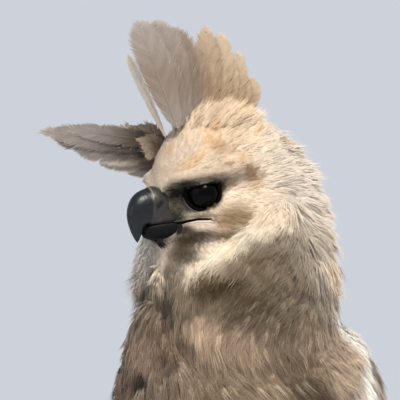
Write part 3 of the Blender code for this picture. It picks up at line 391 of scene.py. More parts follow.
def arm_colour(points):
    """Grey-brown coverts; a white leading edge starts at the bend of the left wing."""
    down, turn, _ = round_trunk(points)
    turn = np.degrees(turn)
    base = linear(166, 146, 126) * (1 + 0.22 * mottle(points, 0.030))[..., None]
    inner = np.exp(-(((turn - 16) / 18) ** 2))[..., None] * 0.45
    base = base * (1 - inner) + linear(120, 98, 78) * inner
    right = (fade(30, 8, turn) * (points[..., 0] < NECK_BASE[0]))[..., None]
    base = base * (1 - right) + linear(122, 100, 82) * (1 + 0.2 * mottle(points, 0.024))[..., None] * right
    line = np.interp(down, (-0.01, 0.007, 0.035, 0.08, 0.20), (8, 1, -16, -30, -42))
    front = np.exp(-(((turn - line) / 8) ** 2))
    top = np.exp(-(((down - 0.006) / 0.008) ** 2)) * fade(36, 28, turn) * fade(-10, 0, turn)
    edge = (0.95 * np.maximum(front, top))[..., None] * (1 - right)
    return base * (1 - edge) + linear(255, 247, 234) * edge


# how far down the white of the head reaches, by place across the bird
WHITE_EDGE = (
    (-0.070, 0.704), (-0.045, 0.712), (-0.029, 0.717), (0.001, 0.733), (0.014, 0.743),
    (0.027, 0.753), (0.058, 0.759), (0.073, 0.738), (0.088, 0.690),
)
# Markings of the bend of the right wing, in the model's own frame
ARM_MARKS = (
    ("rosy", (-0.074, -0.215, 0.657), (0.016, 0.040, 0.020), (176, 148, 124), 0.8),
    ("blotch", (-0.072, -0.222, 0.627), (0.010, 0.040, 0.009), (40, 29, 22), 0.96),
)


def plumage_colour(points):
    """Colour of the plumage at points of the skin."""
    forward, left, up = head_places(points)
    x, y, z = points.T
    offset = points - NECK_BASE
    down, back = offset @ TRUNK_DOWN, offset @ TRUNK_BACK
    head = blot(np.broadcast_to(HEAD_BASE, points.shape), HEAD_MARKS, (forward, np.abs(left), up))
    head = blot(head, BEARD_MARKS, (x, y, z))
    body = NECK_COLOUR + (BREAST_COLOUR - NECK_COLOUR) * fade(0.70, 0.64, z)[:, None]
    body = body + (BELLY_COLOUR - body) * fade(0.10, 0.26, down)[:, None]
    body = body + (BACK_COLOUR - body) * fade(-0.02, 0.03, back)[:, None]
    body = body + (THIGH_COLOUR - body) * fade(0.34, 0.28, z)[:, None]
    body = blot(body, BODY_MARKS, (x, y, z))
    body = body + (arm_colour(points) - body) * arm_share(points)[:, None]
    body = blot(body, ARM_MARKS, (x, y, z))
    # the white of head and nape reaches furthest down behind
    edge = np.interp(x, *np.array(WHITE_EDGE).T) - 0.035 * fade(-0.20, -0.12, y)
    of_head = fade(-0.006, 0.006, z - edge + 0.004 * mottle(points, 0.02))[:, None]
    buff = fade(0.1, 0.7, mottle(points, 0.024)) * fade(0.010, 0.030, up) * fade(0.035, 0.015, forward)
    head = head * (1 - np.outer(0.8 * buff, (0.10, 0.24, 0.44)))
    for eye in EYES.values():
        bare = fade(0.0192, 0.0168, np.linalg.norm(points - eye, axis=1)) * fade(0.0130, 0.0100, up)
        head = head + (BARE_SKIN - head) * bare[:, None]
    body = body * (1 + 0.10 * mottle(points, 0.045))[:, None]
    colour = body + (head - body) * of_head
    return np.clip(colour * (1 + 0.07 * mottle(points, 0.02) + 0.05 * mottle(points, 0.007))[:, None], 0, 1)


def paint(mesh, colour, name="colour"):
    layer = mesh.color_attributes.new(name, "FLOAT_COLOR", "POINT")
    rgba = np.ones((len(colour), 4), np.float32)
    rgba[:, :3] = colour
    layer.data.foreach_set("color", rgba.ravel())


def new_finish(name, roughness, specular):
    finish = bpy.data.materials.new(name)
    finish.use_nodes = True
    shader = finish.node_tree.nodes["Principled BSDF"]
    shader.inputs["Roughness"].default_value = roughness
    shader.inputs["Specular IOR Level"].default_value = specular
    return finish, shader


def painted_finish(name, roughness, sheen=0.0, relief=0.0, specular=0.2):
    """Takes its colour from the mesh, with fine uneven tone over it and a relief of the same grain."""
    finish, shader = new_finish(name, roughness, specular)
    nodes, links = finish.node_tree.nodes, finish.node_tree.links
    tone = nodes.new("ShaderNodeVertexColor")
    tone.layer_name = "colour"
    where = nodes.new("ShaderNodeTexCoord")
    cloud = nodes.new("ShaderNodeTexNoise")
    cloud.inputs["Scale"].default_value = 420
    cloud.inputs["Detail"].default_value = 3
    span = nodes.new("ShaderNodeMapRange")
    span.inputs["To Min"].default_value = 0.86
    span.inputs["To Max"].default_value = 1.12
    mix = nodes.new("ShaderNodeVectorMath")
    mix.operation = "SCALE"
    links.new(where.outputs["Object"], cloud.inputs["Vector"])
    links.new(cloud.outputs["Fac"], span.inputs["Value"])
    links.new(tone.outputs["Color"], mix.inputs[0])
    links.new(span.outputs["Result"], mix.inputs["Scale"])
    links.new(mix.outputs["Vector"], shader.inputs["Base Color"])
    shader.inputs["Sheen Weight"].default_value = sheen
    shader.inputs["Sheen Roughness"].default_value = 0.5
    if relief:
        bump = nodes.new("ShaderNodeBump")
        bump.inputs["Distance"].default_value = relief
        links.new(cloud.outputs["Fac"], bump.inputs["Height"])
        links.new(bump.outputs["Normal"], shader.inputs["Normal"])
    return finish


def set_finish(piece, finish):
    piece.data.materials.clear()
    piece.data.materials.append(finish)


hide_points, hide_normals = places_and_normals(hide.data.vertices)
paint(hide.data, plumage_colour(hide_points) * 0.8)
set_finish(hide, painted_finish("down", 0.95, relief=0.001, specular=0.04))
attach(hide, "root")
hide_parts("head", "neck", "torso", "thigh_left", "thigh_right")

# Plumage of the body
# Small feathers and down over the whole hide. Each is a tuft of narrow barbs that grows from the
# skin, leans along the lie of the coat and thins out to its tips.

rng = np.random.default_rng(11)
hide.data.calc_loop_triangles()
hide_faces = np.array([t.vertices for t in hide.data.loop_triangles])
hide_tree = BVHTree.FromPolygons(hide_points.tolist(), hide_faces.tolist())
corners = hide_points[hide_faces]
spans = np.cross(corners[:, 1] - corners[:, 0], corners[:, 2] - corners[:, 0])
face_area = np.linalg.norm(spans, axis=1) / 2
face_middle = corners.mean(axis=1)
# line of the mouth from the bill to under the eye (forward, left, up)
MOUTH = (
    (0.0270, 0.0150, -0.0238),
    (0.0190, 0.0200, -0.0226),
    (0.0110, 0.0290, -0.0216),
    (0.0040, 0.0370, -0.0218),
    (-0.0008, 0.0415, -0.0232),
)


def solid_tree(node):
    """Finds the nearest place on a solid."""
    solid = bmesh.new()
    solid.from_mesh(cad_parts[node].data)
    tree = BVHTree.FromBMesh(solid)
    solid.free()
    return tree


def on_hide(spots, side, over):
    """Places over the hide nearest to spots of one side, with the normals there."""
    places, normals = [], []
    for forward, left, up in spots:
        place, normal, _, _ = hide_tree.find_nearest(Vector(from_head(forward, side * left, up)))
        places.append(np.array(place + normal * over))
        normals.append(np.array(normal))
    return np.array(places), np.array(normals)


def finer_path(rows, count):
    rows = np.array(rows)
    share = np.linspace(0, len(rows) - 1, count)
    return np.stack([np.interp(share, np.arange(len(rows)), row) for row in rows.T], axis=1)


bill_trees = [solid_tree(node) for node in ("bill_upper", "bill_lower")]
mouth_lines = np.concatenate([on_hide(finer_path(MOUTH, 24), side, 0.0)[0] for side in SIDES])


def clear_of_face(points):
    """False where the bill, the mouth or an eye takes the place of the plumage."""
    keep = np.ones(len(points), bool)
    for place in mouth_lines:
        keep &= np.linalg.norm(points - place, axis=1) > 0.0018
    for eye in EYES.values():
        keep &= np.linalg.norm(points - eye, axis=1) > 0.0172
    near = np.flatnonzero(np.linalg.norm(points - from_head(0.030, 0, -0.01), axis=1) < 0.05)
    for i in near:
        for tree in bill_trees:
            spot, normal, _, gap = tree.find_nearest(Vector(points[i]))
            keep[i] &= (Vector(points[i]) - spot).dot(normal) >= 0 and gap >= 0.0008
    return keep


def unit(vectors):
    return vectors / np.maximum(np.linalg.norm(vectors, axis=-1, keepdims=True), 1e-12)


def scatter(count, weight):
    """Random roots over the hide with its normals there; weight says how closely they stand."""
    chance = face_area * weight(face_middle)
    picked = rng.choice(len(chance), count, p=chance / chance.sum())
    a, b = rng.random((2, count, 1))
    flip = a + b > 1
    a, b = np.where(flip, 1 - a, a), np.where(flip, 1 - b, b)
    mix = np.concatenate([1 - a - b, a, b], axis=1)[..., None]
    points = (hide_points[hide_faces[picked]] * mix).sum(axis=1)
    normals = unit((hide_normals[hide_faces[picked]] * mix).sum(axis=1))
    keep = clear_of_face(points)
    return points[keep], normals[keep]


def head_way(forward, left, up):
    """A direction of the head's own frame."""
    return from_head(forward, left, up) - HEAD_ORIGIN


def behind_cheek(forward, up):
    """Distance down and back from the lower edge of the cheek."""
    return -0.588 * (forward - 0.010) - 0.809 * (up + 0.045)


def lie(points, normals):
    """The way the plumage lies: back from the bill, round the eyes, then down neck, trunk and legs."""
    forward, _, up = head_places(points)
    x, y, z = points.T
    from_bill = points - from_head(0.034, 0.0, -0.006)
    of_head = fade(-0.075, -0.020, up)[:, None] * fade(0.69, 0.74, z)[:, None]
    of_trunk = fade(0.70, 0.60, z)[:, None]
    down = np.array((0.0, 0.05, -1.0)) * (1 - of_trunk) + TRUNK_DOWN * of_trunk
    # on the chest the feathers part to both sides
    slant = 0.55 * fade(0.69, 0.65, z) * fade(0.45, 0.55, z) * fade(-0.08, -0.03, x)
    slant = (slant - 0.60 * fade(0.68, 0.71, z) * fade(-0.04, 0.01, x)) * fade(-0.19, -0.24, y)
    down = down + np.outer(slant, (1.0, 0.0, 0.0))
    legs = fade(0.36, 0.30, z)[:, None]
    down = down * (1 - legs) + np.array((0.0, 0.0, -1.0)) * legs
    way = unit(from_bill) * of_head + unit(down) * (1 - of_head)
    # the ruff behind the cheeks runs down and forward under the throat
    ruff = fade(0.002, 0.012, behind_cheek(forward, up)) * fade(-0.080, -0.055, forward)
    ruff = (ruff * fade(0.66, 0.70, z))[:, None]
    to_throat = np.outer(0.75 * fade(0.03, -0.01, forward), head_way(1.0, 0.0, 0.0))
    to_throat = to_throat + np.array((0.0, 0.0, -0.8))
    way = way * (1 - ruff) + unit(to_throat) * ruff
    for eye in EYES.values():
        away = points - eye
        gap = np.linalg.norm(away, axis=1, keepdims=True)
        below = fade(0.004, -0.004, away[:, 2])[:, None]
        way = way + 1.2 * unit(away) * np.exp(-(((gap - 0.015) / 0.008) ** 2)) * below
    way = way - normals * (way * normals).sum(axis=1, keepdims=True)
    return unit(way)


def strips(path, half):
    """Narrow leaves: path (n, s, 3) from root to tip, half (n, s-1, 3) the half width but at the tip."""
    count, stations, _ = path.shape
    body = path[:, :-1]
    verts = np.concatenate([body - half, body + half, path[:, -1:]], axis=1)
    right = stations - 1
    faces = []
    for i in range(stations - 2):
        faces += [(i, right + i, right + i + 1), (i, right + i + 1, i + 1)]
    faces.append((stations - 2, 2 * stations - 3, 2 * stations - 2))
    first = np.arange(count) * (2 * stations - 1)
    return verts.reshape(-1, 3), (np.array(faces)[None] + first[:, None, None]).reshape(-1, 3)


def leaf_piece(name, verts, faces, colour, uv, finish, normals=None):
    """A piece of many thin leaves, painted and unwrapped vertex by vertex."""
    mesh = bpy.data.meshes.new(name)
    mesh.from_pydata(verts, [], faces)
    mesh.shade_smooth()
    paint(mesh, colour)
    layer = mesh.uv_layers.new(name="OFBake")
    layer.data.foreach_set("uv", uv[faces.ravel()].astype(np.float32).ravel())
    if normals is not None:
        mesh.normals_split_custom_set_from_vertices(normals)
    mesh.materials.append(finish)
    piece = bpy.data.objects.new(name, mesh)
    bpy.context.scene.collection.objects.link(piece)
    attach(piece, "root")
    return piece


def unwrap(points, centre, axis, front, span):
    """Place of each root on the hide rolled out round an axis."""
    axis, front = np.array(axis, float), np.array(front, float)
    offset = points - np.array(centre)
    side = np.cross(axis, front)
    u = np.arctan2(offset @ side, offset @ front) / (2 * pi) + 0.5
    v = (offset @ axis - span[0]) / (span[1] - span[0])
    return np.stack([0.01 + 0.98 * u, 0.01 + 0.98 * np.clip(v, 0, 1)], axis=1)


def coat(
    name, count, weight, shape, barbs, spot, contrast, tip_tone=1.05, root_tone=0.80, flecks=0.0, finish=None
):
    """A coat piece. shape(points) gives each tuft's length, width and lift; spot(points) its UV place."""
    points, normals = scatter(count, weight)
    total = len(points)
    length, width, lift = (np.broadcast_to(value, total) for value in shape(points))
    way = lie(points, normals)
    way = unit(way + np.cross(normals, way) * rng.normal(0, 0.18, (total, 1)))
    across = np.cross(way, normals)
    t = np.linspace(-1, 1, barbs)[None, :] + rng.normal(0, 0.6 / barbs, (total, barbs))
    size = (length * rng.uniform(0.75, 1.2, total))[:, None]
    run = size * (1 - 0.25 * t**2) * rng.uniform(0.75, 1.15, (total, barbs))
    rise = np.tan(lift)[:, None] * rng.uniform(0.5, 1.4, (total, 1))
    wide = width[:, None]

    def place(along, out, up):
        base = points[:, None] - normals[:, None] * 0.0010
        flat = base + way[:, None] * along[..., None] + across[:, None] * out[..., None]
        return flat + normals[:, None] * up[..., None]

    cup = -0.12 * wide * t**2
    stray = rng.normal(0, 0.09, (total, barbs)) * wide
    root = place(0 * run, 0.15 * wide * t, 0 * run)
    middle = place(0.45 * run, 0.40 * wide * t, 0.62 * run * rise + cup + 0.0008)
    tip = place(run, 0.58 * wide * t + stray, 0.80 * run * rise + 1.4 * cup + 0.0008)
    half = across[:, None] * (wide / barbs * 0.46)[..., None]
    verts = np.stack([root, middle - half, middle + half, tip], axis=2).reshape(-1, 3)
    first = (np.arange(total * barbs) * 4)[:, None, None]
    faces = (np.array([[1, 2, 3], [2, 1, 0]])[None] + first).reshape(-1, 3)
    # the colour belongs to the part of the tuft that shows, away from its root
    tone = plumage_colour(points + way * (0.55 * length)[:, None])
    dull = fade(0.55, 0.30, tone.mean(axis=1))[:, None] * (flecks > 0)
    pale = (rng.random((total, 1)) < flecks) * rng.uniform(0.10, 0.30, (total, 1)) * dull
    tone = tone * (1 + rng.normal(0, contrast, (total, 1))) * (1 - 0.08 * dull * (pale == 0))
    tone = tone + (linear(232, 210, 182) - tone) * pale
    tone = tone[:, None, None] * (1 + rng.normal(0, contrast * 0.7, (total, barbs, 1, 1)))
    # root, left middle, right middle, tip
    steps = np.array([root_tone, 1.0, 1.0, tip_tone])[None, None, :, None]
    colour = np.clip(tone * steps, 0.004, 0.95).reshape(-1, 3)
    uv = spot(points)[:, None, None] + 0.0015 * np.stack(
        np.broadcast_arrays(np.clip(t, -1, 1)[..., None], np.array([-1.0, 0.0, 0.2, 1.0])), axis=-1
    )
    face_up = normals * np.cos(lift)[:, None] - way * (0.5 * np.sin(lift))[:, None]
    soft = face_up[:, None] + across[:, None] * (0.20 * t)[..., None] + rng.normal(0, 0.05, (total, barbs, 3))
    soft = np.repeat(unit(soft).reshape(-1, 3), 4, axis=0)
    return leaf_piece(name, verts, faces, colour, uv.reshape(-1, 2), finish or soft_plume, soft)


soft_plume = painted_finish("soft_plume", 0.9, 0.15)
# middle of the beard that stands off the right side of the throat, in the head's frame
BEARD = (0.0270, -0.0330, -0.0570)


def face_distance(points):
    return np.linalg.norm(points - from_head(0.030, 0.0, -0.006), axis=-1)


def head_spot(points):
    flat = np.stack(head_places(points), axis=1)
    return unwrap(flat, (0, 0, 0), (1, 0, 0), (0, 0, 1), (-0.11, 0.05))


def beard_share(points):
    """1 in the middle of the beard, 0 outside it."""
    forward, left, up = head_places(points)
    reach = np.hypot(np.hypot(forward - BEARD[0], left - BEARD[1]), (up - BEARD[2]) * 0.7)
    return fade(0.026, 0.010, reach)


def head_shape(points):
    forward, _, _ = head_places(points)
    far = face_distance(points)
    length = np.interp(far, (0.010, 0.025, 0.050, 0.090, 0.120), (0.0032, 0.0052, 0.0095, 0.016, 0.020))
    behind = fade(-0.03, -0.07, forward)
    lift = radians(9) + radians(8) * fade(0.03, 0.08, far) + radians(8) * behind
    clump = mottle(points, 0.018) * fade(0.03, 0.07, far)
    length = length * (1 + 0.15 * clump)
    beard = beard_share(points)
    return length * (1 + 0.6 * beard), length * 0.44, lift * (1 + 0.3 * clump) + radians(24) * beard


def is_head(points):
    return fade(0.712, 0.722, points[:, 2]) * (1.0 + 2.5 * (1 - fade(0.02, 0.06, face_distance(points))))


def is_face(points):
    return is_head(points) * (face_distance(points) < 0.068)


def is_crown(points):
    return is_head(points) * (face_distance(points) > 0.056) * (head_places(points)[2] > -0.012)


def is_nape(points):
    return is_head(points) * (face_distance(points) > 0.056) * (head_places(points)[2] < -0.002)


def ruff_shape(points):
    return np.full(len(points), 0.023), 0.011, radians(16) + radians(18) * beard_share(points)


def is_ruff(points):
    """A band from behind the cheek down to the throat, that hangs free over the neck."""
    forward, _, up = head_places(points)
    below = behind_cheek(forward, up)
    band = fade(0.004, 0.011, below) * fade(0.026, 0.017, below)
    return band * fade(-0.070, -0.050, forward) * fade(0.030, 0.015, forward) * fade(0.66, 0.70, points[:, 2])


def crest_base_shape(points):
    return np.full(len(points), 0.017), 0.008, radians(38)


def is_crest_base(points):
    forward, left, up = head_places(points)
    near = fade(0.049, 0.056, up) * fade(-0.060, -0.045, forward) * fade(0.016, 0.006, forward)
    far = fade(0.016, 0.006, np.hypot(forward + 0.004, np.hypot(left + 0.034, up - 0.034)))
    return near * fade(0.050, 0.035, np.abs(left - 0.015)) + 1.5 * far


def neck_spot(points):
    return unwrap(points, NECK_BASE, (0, 0, 1), (0, -1, 0), (-0.15, 0.12))


def neck_shape(points):
    length = 0.018 + 0.008 * fade(0.72, 0.64, points[:, 2])
    return length, length * 0.29, radians(16)


def is_neck(points):
    level = fade(0.735, 0.720, points[:, 2]) * fade(0.60, 0.63, points[:, 2])
    return level * (1 - arm_share(points))


def trunk_spot(points):
    return unwrap(points, NECK_BASE, TRUNK_DOWN, TRUNK_BACK, (-0.03, 0.48))


def trunk_shape(points):
    length = np.full(len(points), 0.027)
    return length, length * 0.32, radians(13)


def is_trunk(points, top, facing):
    """The breast where facing is -1, the back where it is 1, from top down to the thighs."""
    back = (points - NECK_BASE) @ TRUNK_BACK
    level = fade(top, top - 0.020, points[:, 2]) * fade(0.20, 0.24, points[:, 2])
    return level * fade(-0.010 * facing, 0.010 * facing, back) * (1 - arm_share(points))


def is_breast(points):
    return is_trunk(points, 0.645, -1)


def is_back(points):
    return is_trunk(points, 0.70, 1)


def thigh_shape(points):
    length = 0.020 + 0.008 * fade(0.15, 0.25, points[:, 2])
    return length, length * 0.36, radians(13)


coat("plumage_face", 11500, is_face, head_shape, 8, head_spot, 0.035, root_tone=0.86)
coat("plumage_crown", 8200, is_crown, head_shape, 11, head_spot, 0.035, root_tone=0.93)
coat("plumage_nape", 8200, is_nape, head_shape, 11, head_spot, 0.035, root_tone=0.93)
coat("plumage_ruff", 1900, is_ruff, ruff_shape, 17, head_spot, 0.03, root_tone=0.9)
coat("plumage_crest_base", 1700, is_crest_base, crest_base_shape, 16, head_spot, 0.05, root_tone=0.95)
coat("plumage_neck", 7500, is_neck, neck_shape, 12, neck_spot, 0.08, root_tone=0.66, flecks=0.22)
coat("plumage_breast", 7500, is_breast, trunk_shape, 11, trunk_spot, 0.07, root_tone=0.68, flecks=0.18)
coat("plumage_back", 6500, is_back, trunk_shape, 10, trunk_spot, 0.06)
# how far each leg stands from the middle
LEG_OUT = 0.067
for side, word in SIDES.items():
    middle = (side * LEG_OUT + SHIFT.x, SHIFT.y, 0.0)

    def thigh_spot(points):
        return unwrap(points, middle, (0, 0, 1), (0, -1, 0), (0.09, 0.42))

    def is_thigh(points):
        low_part = fade(0.36, 0.33, points[:, 2]) * ((points[:, 0] - SHIFT.x) * side > 0)
        return low_part * ((points - NECK_BASE) @ TRUNK_DOWN < 0.60)

    coat(f"plumage_thigh_{word}", 3600, is_thigh, thigh_shape, 9, thigh_spot, 0.05)

# Eyes
# Two dark, wet eyeballs deep under the brows, each with a ring of black bare skin and a paler
# outer lid.

EYE_RADIUS = 0.0145
EYE_LOOK = {side: unit(head_way(0.50, side * 0.86, 0.02)) for side in SIDES}
# how far the lids lie ahead of the eye's middle, and their radii to front, rear, above and below
LID_OUT = 0.0060
LID = (0.0150, 0.0142, 0.0138, 0.0142)
OUTER_LID = (0.0176, 0.0166, 0.0160, 0.0163)


def plain_finish(name, colour, roughness, coat_weight=0.0, specular=0.5):
    finish, shader = new_finish(name, roughness, specular)
    shader.inputs["Base Color"].default_value = (*colour, 1)
    shader.inputs["Coat Weight"].default_value = coat_weight
    return finish


def round_loop(middle, out, rise, size):
    """Eight places round a middle."""
    turn = np.arange(8) * (pi / 4)
    return middle + size * (np.outer(np.cos(turn), out) + np.outer(np.sin(turn), rise))


def lid_ring(name, side, radii, thick, finish, first=0.0, last=2 * pi):
    """A soft fold of skin along an oval round the eye, whole or from one angle to another."""
    look = EYE_LOOK[side]
    ahead, above = (unit(np.cross(np.cross(look, head_way(*way)), look)) for way in ((1, 0, 0), (0, 0, 1)))
    front, rear, top, bottom = radii
    whole = last - first > 6.2
    loops = []
    for share in np.linspace(0, 1, 41)[: 40 if whole else 41]:
        t = first + (last - first) * share
        wide, tall = (front if cos(t) > 0 else rear), (top if sin(t) > 0 else bottom)
        spoke = ahead * cos(t) * wide + above * sin(t) * tall
        size = thick if whole else thick * (0.25 + 0.75 * sin(pi * share))
        loops.append(round_loop(EYES[side] + look * LID_OUT + spoke, unit(spoke), look, size))
    bm = bmesh.new()
    tube(bm, loops, whole)
    ring = add_piece(name, bm, finish)
    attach(ring, "root")


eye_gloss = plain_finish("eye_gloss", linear(4, 3, 3), 0.2, specular=0.08)
lid_black = plain_finish("lid_black", linear(9, 7, 6), 0.6, specular=0.06)
lid_pale = plain_finish("lid_pale", linear(96, 84, 70), 0.7)
for side, word in SIDES.items():
    turn = Vector(EYE_LOOK[side]).to_track_quat("Z", "Y").to_matrix().to_4x4()
    matrix = Matrix.Translation(EYES[side]) @ turn
    bm = bmesh.new()
    bmesh.ops.create_uvsphere(bm, u_segments=48, v_segments=32, radius=EYE_RADIUS, matrix=matrix)
    ball = add_piece(f"eyeball_{word}", bm, eye_gloss)
    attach(ball, "root")
    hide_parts(f"eye_{word}")
for side, word in SIDES.items():
    lid_ring(f"lid_{word}", side, LID, 0.0018, lid_black)
    lid_ring(f"outer_lid_{word}", side, OUTER_LID, 0.0006, lid_pale, pi * 1.05, pi * 1.95)

# Bill
# Two blue-black halves of horn with a grey waxy cere and slit nostrils. The upper half ends in a
# hook over the lower one.

# rows of a ridge point, an edge point (each forward and up) and the half width between them
UPPER_BILL = (
    ((0.0040, -0.0120), (0.0040, -0.0228), 0.0120),
    ((0.0140, -0.0050), (0.0135, -0.0235), 0.0122),
    ((0.0240, 0.0030), (0.0230, -0.0240), 0.0130),
    ((0.0330, 0.0080), (0.0310, -0.0242), 0.0130),
    ((0.0390, 0.0084), (0.0360, -0.0242), 0.0125),
    ((0.0420, 0.0072), (0.0388, -0.0240), 0.0116),
    ((0.0483, 0.0058), (0.0424, -0.0238), 0.0106),
    ((0.0557, 0.0022), (0.0456, -0.0237), 0.0094),
    ((0.0602, -0.0043), (0.0482, -0.0240), 0.0081),
    ((0.0628, -0.0118), (0.0500, -0.0257), 0.0067),
    ((0.0626, -0.0200), (0.0509, -0.0292), 0.0052),
    ((0.0601, -0.0290), (0.0518, -0.0334), 0.0035),
    ((0.0575, -0.0345), (0.0531, -0.0366), 0.0018),
)
LOWER_BILL = (
    ((0.0060, -0.0214), (0.0058, -0.0345), 0.0140),
    ((0.0140, -0.0215), (0.0140, -0.0362), 0.0154),
    ((0.0260, -0.0222), (0.0260, -0.0376), 0.0136),
    ((0.0360, -0.0230), (0.0360, -0.0380), 0.0110),
    ((0.0430, -0.0240), (0.0425, -0.0372), 0.0082),
    ((0.0470, -0.0256), (0.0462, -0.0356), 0.0056),
    ((0.0488, -0.0290), (0.0482, -0.0340), 0.0026),
)
# middle of the nostril (forward, up), its slant, and where the cere ends
NOSTRIL = (0.0366, -0.0074)
NOSTRIL_SLANT = radians(42)
CERE_END = 0.0418


def subdivide(piece, levels):
    finer = piece.modifiers.new("finer", "SUBSURF")
    finer.levels = finer.render_levels = levels
    keep_modified(piece)


def bill_half(name, rows, tip, powers):
    """A smooth half of the bill from its root to its point; powers square its top and its bottom."""
    turn = np.arange(20) * (pi / 10)
    out, rise = squarish(turn, 2 / np.where(np.sin(turn) >= 0, *powers))
    loops = []
    for ridge, edge, wide in rows:
        ridge, edge = np.array(ridge), np.array(edge)
        forward, up = ((ridge + edge) / 2)[:, None] + np.outer((ridge - edge) / 2, rise)
        loops.append(from_head(forward, out * wide, up))
    bm = bmesh.new()
    ends = tube(bm, loops)
    point = bmesh.ops.poke(bm, faces=ends[1:])["verts"][0]
    point.co = from_head(tip[0], 0.0, tip[1])
    half = add_piece(name, bm)
    subdivide(half, 3)
    return half


def finish_horn(half, colour, finish):
    """Gives a half of the bill its colour and finish."""
    paint(half.data, np.clip(colour, 0.003, 1))
    half.data.shade_smooth()
    set_finish(half, finish)
    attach(half, "root")


def horn_tone(points, horn, cere):
    """Horn that turns to grey wax where cere is 1."""
    colour = horn + (linear(56, 52, 48) - horn) * (cere * 0.8)[:, None]
    return colour * (1 + 0.22 * mottle(points, 0.008) + 0.12 * mottle(points, 0.003))[:, None]


top = bill_half("bill_top", UPPER_BILL, (0.0545, -0.0392), (2.0, 5.0))
points, normals = places_and_normals(top.data.vertices)
forward, left, up = head_places(points)
ahead, rise = forward - NOSTRIL[0], up - NOSTRIL[1]
along = ahead * cos(NOSTRIL_SLANT) - rise * sin(NOSTRIL_SLANT)
across = ahead * sin(NOSTRIL_SLANT) + rise * cos(NOSTRIL_SLANT)
slit = np.exp(-((along / 0.0042) ** 4) - (across / 0.0024) ** 4) * (np.abs(left) > 0.006)
rim = np.exp(-((along / 0.0062) ** 4) - (across / 0.0032) ** 4) * (np.abs(left) > 0.006)
past_cere = forward + 0.10 * (up - 0.004) - CERE_END
cere = fade(0.0006, -0.0006, past_cere)
points = points + normals * (0.0004 * cere + 0.0003 * rim - 0.0010 * slit)[:, None]
top.data.vertices.foreach_set("co", points.ravel())
scratch = np.exp(-(((past_cere + 0.0004) / 0.0006) ** 2)) * fade(-0.006, 0.000, up)
colour = horn_tone(points, linear(21, 24, 29), cere) + np.outer(scratch, linear(150, 140, 130)) * 0.5
blue_horn = painted_finish("horn", 0.34, relief=0.0003, specular=0.35)
# the slit is painted almost black: painted shade inside the nostril
finish_horn(top, colour * (1 - 0.97 * slit)[:, None], blue_horn)
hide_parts("bill_upper")

bottom = bill_half("bill_bottom", LOWER_BILL, (0.0494, -0.0325), (5.0, 2.2))
points, _ = places_and_normals(bottom.data.vertices)
# painted shade: the lower half is painted darker than the upper one, and its finish is a less glossy copy of
# the horn
colour = horn_tone(points, linear(10, 10, 10), fade(0.020, 0.008, head_places(points)[0]))
shaded_horn = painted_finish("shaded_horn", 0.5, relief=0.0003, specular=0.12)
finish_horn(bottom, colour, shaded_horn)
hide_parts("bill_lower")

# Mouth and chin
# Black bare skin along the line of the mouth, with a pale fold under its corner, and stiff bristles
# on the chin and before the eyes.

lip_pale = plain_finish("lip_pale", linear(214, 190, 172), 0.6)
# drop under the line of the mouth, half thickness from the bill to the corner, finish
MOUTH_FOLDS = {
    "mouth_line": (0.0, (0.0010, 0.0013, 0.0013, 0.0011, 0.0003), lid_black),
    "mouth_fold": (0.0019, (0.0001, 0.0002, 0.0009, 0.0010, 0.0002), lip_pale),
}
for side, word in SIDES.items():
    for name, (drop, sizes, finish) in MOUTH_FOLDS.items():
        middles, outward = on_hide(finer_path(MOUTH, 17) - (0, 0, drop), side, 0.0004)
        rise = unit(np.cross(outward, unit(np.gradient(middles, axis=0))))
        sizes = np.interp(np.linspace(0, 4, len(middles)), range(5), sizes)
        bm = bmesh.new()
        tube(bm, [round_loop(*row) for row in zip(middles, outward, rise, sizes)])
        fold = add_piece(f"{name}_{word}", bm, finish)
        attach(fold, "root")


def bristle_piece(name, path, across, thick, tones):
    """Stiff strips along paths of three places, each with its own tone."""
    verts, faces = strips(path, across[:, None] * np.array(thick)[None, :, None])
    corners = np.array([(-1, -1), (-1, 0), (1, -1), (1, 0), (0, 1)])
    spots = head_spot(path[:, 0])[:, None] + 0.0015 * corners
    piece = leaf_piece(name, verts, faces, np.repeat(tones, 5, axis=0), spots.reshape(-1, 2), soft_plume)


# how many bristles: on the chin, in a band before each eye, and in a lower one at the mouth
CHIN, UPPER_BAND, LOWER_BAND = 60, 150, 90
roots = from_head(
    rng.normal(0.0365, 0.0013, CHIN), rng.normal(0.004, 0.0035, CHIN), rng.normal(-0.0365, 0.0006, CHIN)
)
hang = head_way(
    rng.normal(-0.005, 0.0012, CHIN), rng.normal(0.002, 0.001, CHIN), rng.uniform(-0.0105, -0.005, CHIN)
)
path = roots[:, None] + hang[:, None] * np.array([0, 0.5, 1.0])[None, :, None]
across = np.cross(unit(hang), head_way(0.5, 0.8, 0.0))
tones = np.tile(linear(40, 35, 30), (CHIN, 1))
bristle_piece("chin_bristles", path, across, (0.0004, 0.0003), tones)

for side, word in SIDES.items():
    count = UPPER_BAND + LOWER_BAND
    ups = np.concatenate([rng.uniform(-0.0200, 0.004, UPPER_BAND), rng.uniform(-0.0320, -0.0235, LOWER_BAND)])
    low = ups < -0.022
    spots = np.stack([rng.uniform(0.016, np.where(low, 0.022, 0.0265)), np.full(count, 0.016), ups], axis=1)
    roots, outward = on_hide(spots, side, 0.0)
    ahead = head_way(0.9, 0.12 * side, -0.35) + rng.normal(0, 0.12, (count, 3))
    ahead = unit(ahead - outward * (ahead * outward).sum(axis=1, keepdims=True))
    reach = (rng.uniform(0.0040, 0.0070, count) * np.where(low, 0.6, 1.0))[:, None]
    middles, tips = roots + ahead * reach * 0.5 + outward * 0.0010, roots + ahead * reach + outward * 0.0012
    path = np.stack([roots, middles, tips], axis=1)
    shade = np.interp(ups, (-0.0225, -0.0200, -0.0100, -0.0030, 0.0020), (0.10, 0.6, 1.0, 0.7, 0.12))
    tones = linear(84, 77, 68) * (shade * rng.uniform(0.4, 1.5, count))[:, None]
    across = np.cross(ahead, outward)
    bristle_piece(f"lore_bristles_{word}", path, across, (0.00035, 0.00025), tones)

